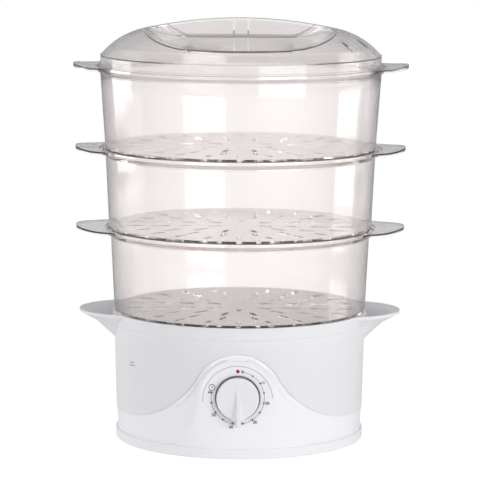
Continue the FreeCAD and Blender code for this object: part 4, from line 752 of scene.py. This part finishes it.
WINDOW_BRIGHT, WINDOW_DIM, PANEL_BRIGHT, WALLS_LOW, WALLS_HIGH = 0.75, 0.4, 6.0, 1.15, 0.38
WINDOW_EDGE, PANEL_EDGE = (-0.30, -0.20), (-0.22, -0.16)
PANEL_FOOT, PANEL_HEAD, WALLS_FADE = (0.40, 0.45), (0.84, 0.9), (0.1, 0.65)
world = bpy.data.worlds.new("white room")
bpy.context.scene.world = world
world.use_nodes = True
tree = world.node_tree
background = tree.nodes["Background"]
background.inputs["Color"].default_value = (1, 1, 1, 1)
rays = tree.nodes.new("ShaderNodeLightPath").outputs
way, split = tree.nodes.new("ShaderNodeTexCoord"), tree.nodes.new("ShaderNodeSeparateXYZ")
tree.links.new(way.outputs["Generated"], split.inputs[0])
height, depth = split.outputs["Z"], split.outputs["Y"]
window = ramp(tree, depth, *WINDOW_EDGE, WINDOW_BRIGHT, WINDOW_DIM)
panel = ramp(tree, height, *PANEL_FOOT, 0.0, 1.0)
panel = combine(tree, "MULTIPLY", panel, ramp(tree, height, *PANEL_HEAD, 1.0, 0.0))
panel = combine(tree, "MULTIPLY", panel, ramp(tree, depth, *PANEL_EDGE, 1.0, 0.0))
window = pick(tree, panel, window, PANEL_BRIGHT)
walls = ramp(tree, height, *WALLS_FADE, WALLS_LOW, WALLS_HIGH)
room = pick(tree, rays["Is Glossy Ray"], walls, window)
tree.links.new(pick(tree, seen(tree, rays), room, 1.0), background.inputs["Strength"])


# Low soft boxes stand round the table: the main one in front to the right and two weaker ones
# behind, so upright walls stay bright out to their sides and faces that look up are softer.
LAMP_AIM = Vector((0, 0, 0.1))


def soft_box(name, azimuth, height, distance, width, tall, power):
    """A rectangular lamp round the table, aimed at the middle of the steamer."""
    lamp = bpy.data.lights.new(name, "AREA")
    lamp.shape = "RECTANGLE"
    lamp.size, lamp.size_y = width, tall
    lamp.energy = power
    holder = bpy.data.objects.new(name, lamp)
    bpy.context.scene.collection.objects.link(holder)
    turn = math.radians(azimuth)
    holder.location = (distance * math.sin(turn), -distance * math.cos(turn), height)
    aim = LAMP_AIM - holder.location
    holder.rotation_euler = aim.to_track_quat("-Z", "Y").to_euler()
    holder.visible_glossy = False


soft_box("right box", 34, 0.28, 1.7, 1.2, 0.45, 8.5)
soft_box("left rear box", -112, 0.3, 1.5, 0.8, 0.5, 7)
soft_box("right rear box", 115, 0.3, 1.5, 0.8, 0.5, 1.5)

# The camera stands 2.7 m away, a little above the lid, and looks down at the middle of the stack.
# A long lens keeps the stack's sides almost upright.
FOCAL_PX, FRAME_PX, SENSOR = 2928.0, 480.0, 36.0
RUN, EYE, PITCH, TURN, ROLL = 2.694, 0.551, 7.74, 0.6, 0.33
lens_data = bpy.data.cameras.new("eye")
lens_data.sensor_width = SENSOR
lens_data.lens = FOCAL_PX / FRAME_PX * SENSOR
eye = bpy.data.objects.new("eye", lens_data)
bpy.context.scene.collection.objects.link(eye)
turn = math.radians(TURN)
eye.location = (RUN * math.sin(turn), -RUN * math.cos(turn), EYE)
upright = Matrix.Rotation(turn, 4, "Z") @ Matrix.Rotation(math.radians(90 - PITCH), 4, "X")
eye.rotation_euler = (upright @ Matrix.Rotation(math.radians(ROLL), 4, "Z")).to_euler()
bpy.context.scene.camera = eye
bpy.context.scene.view_settings.view_transform = "Standard"
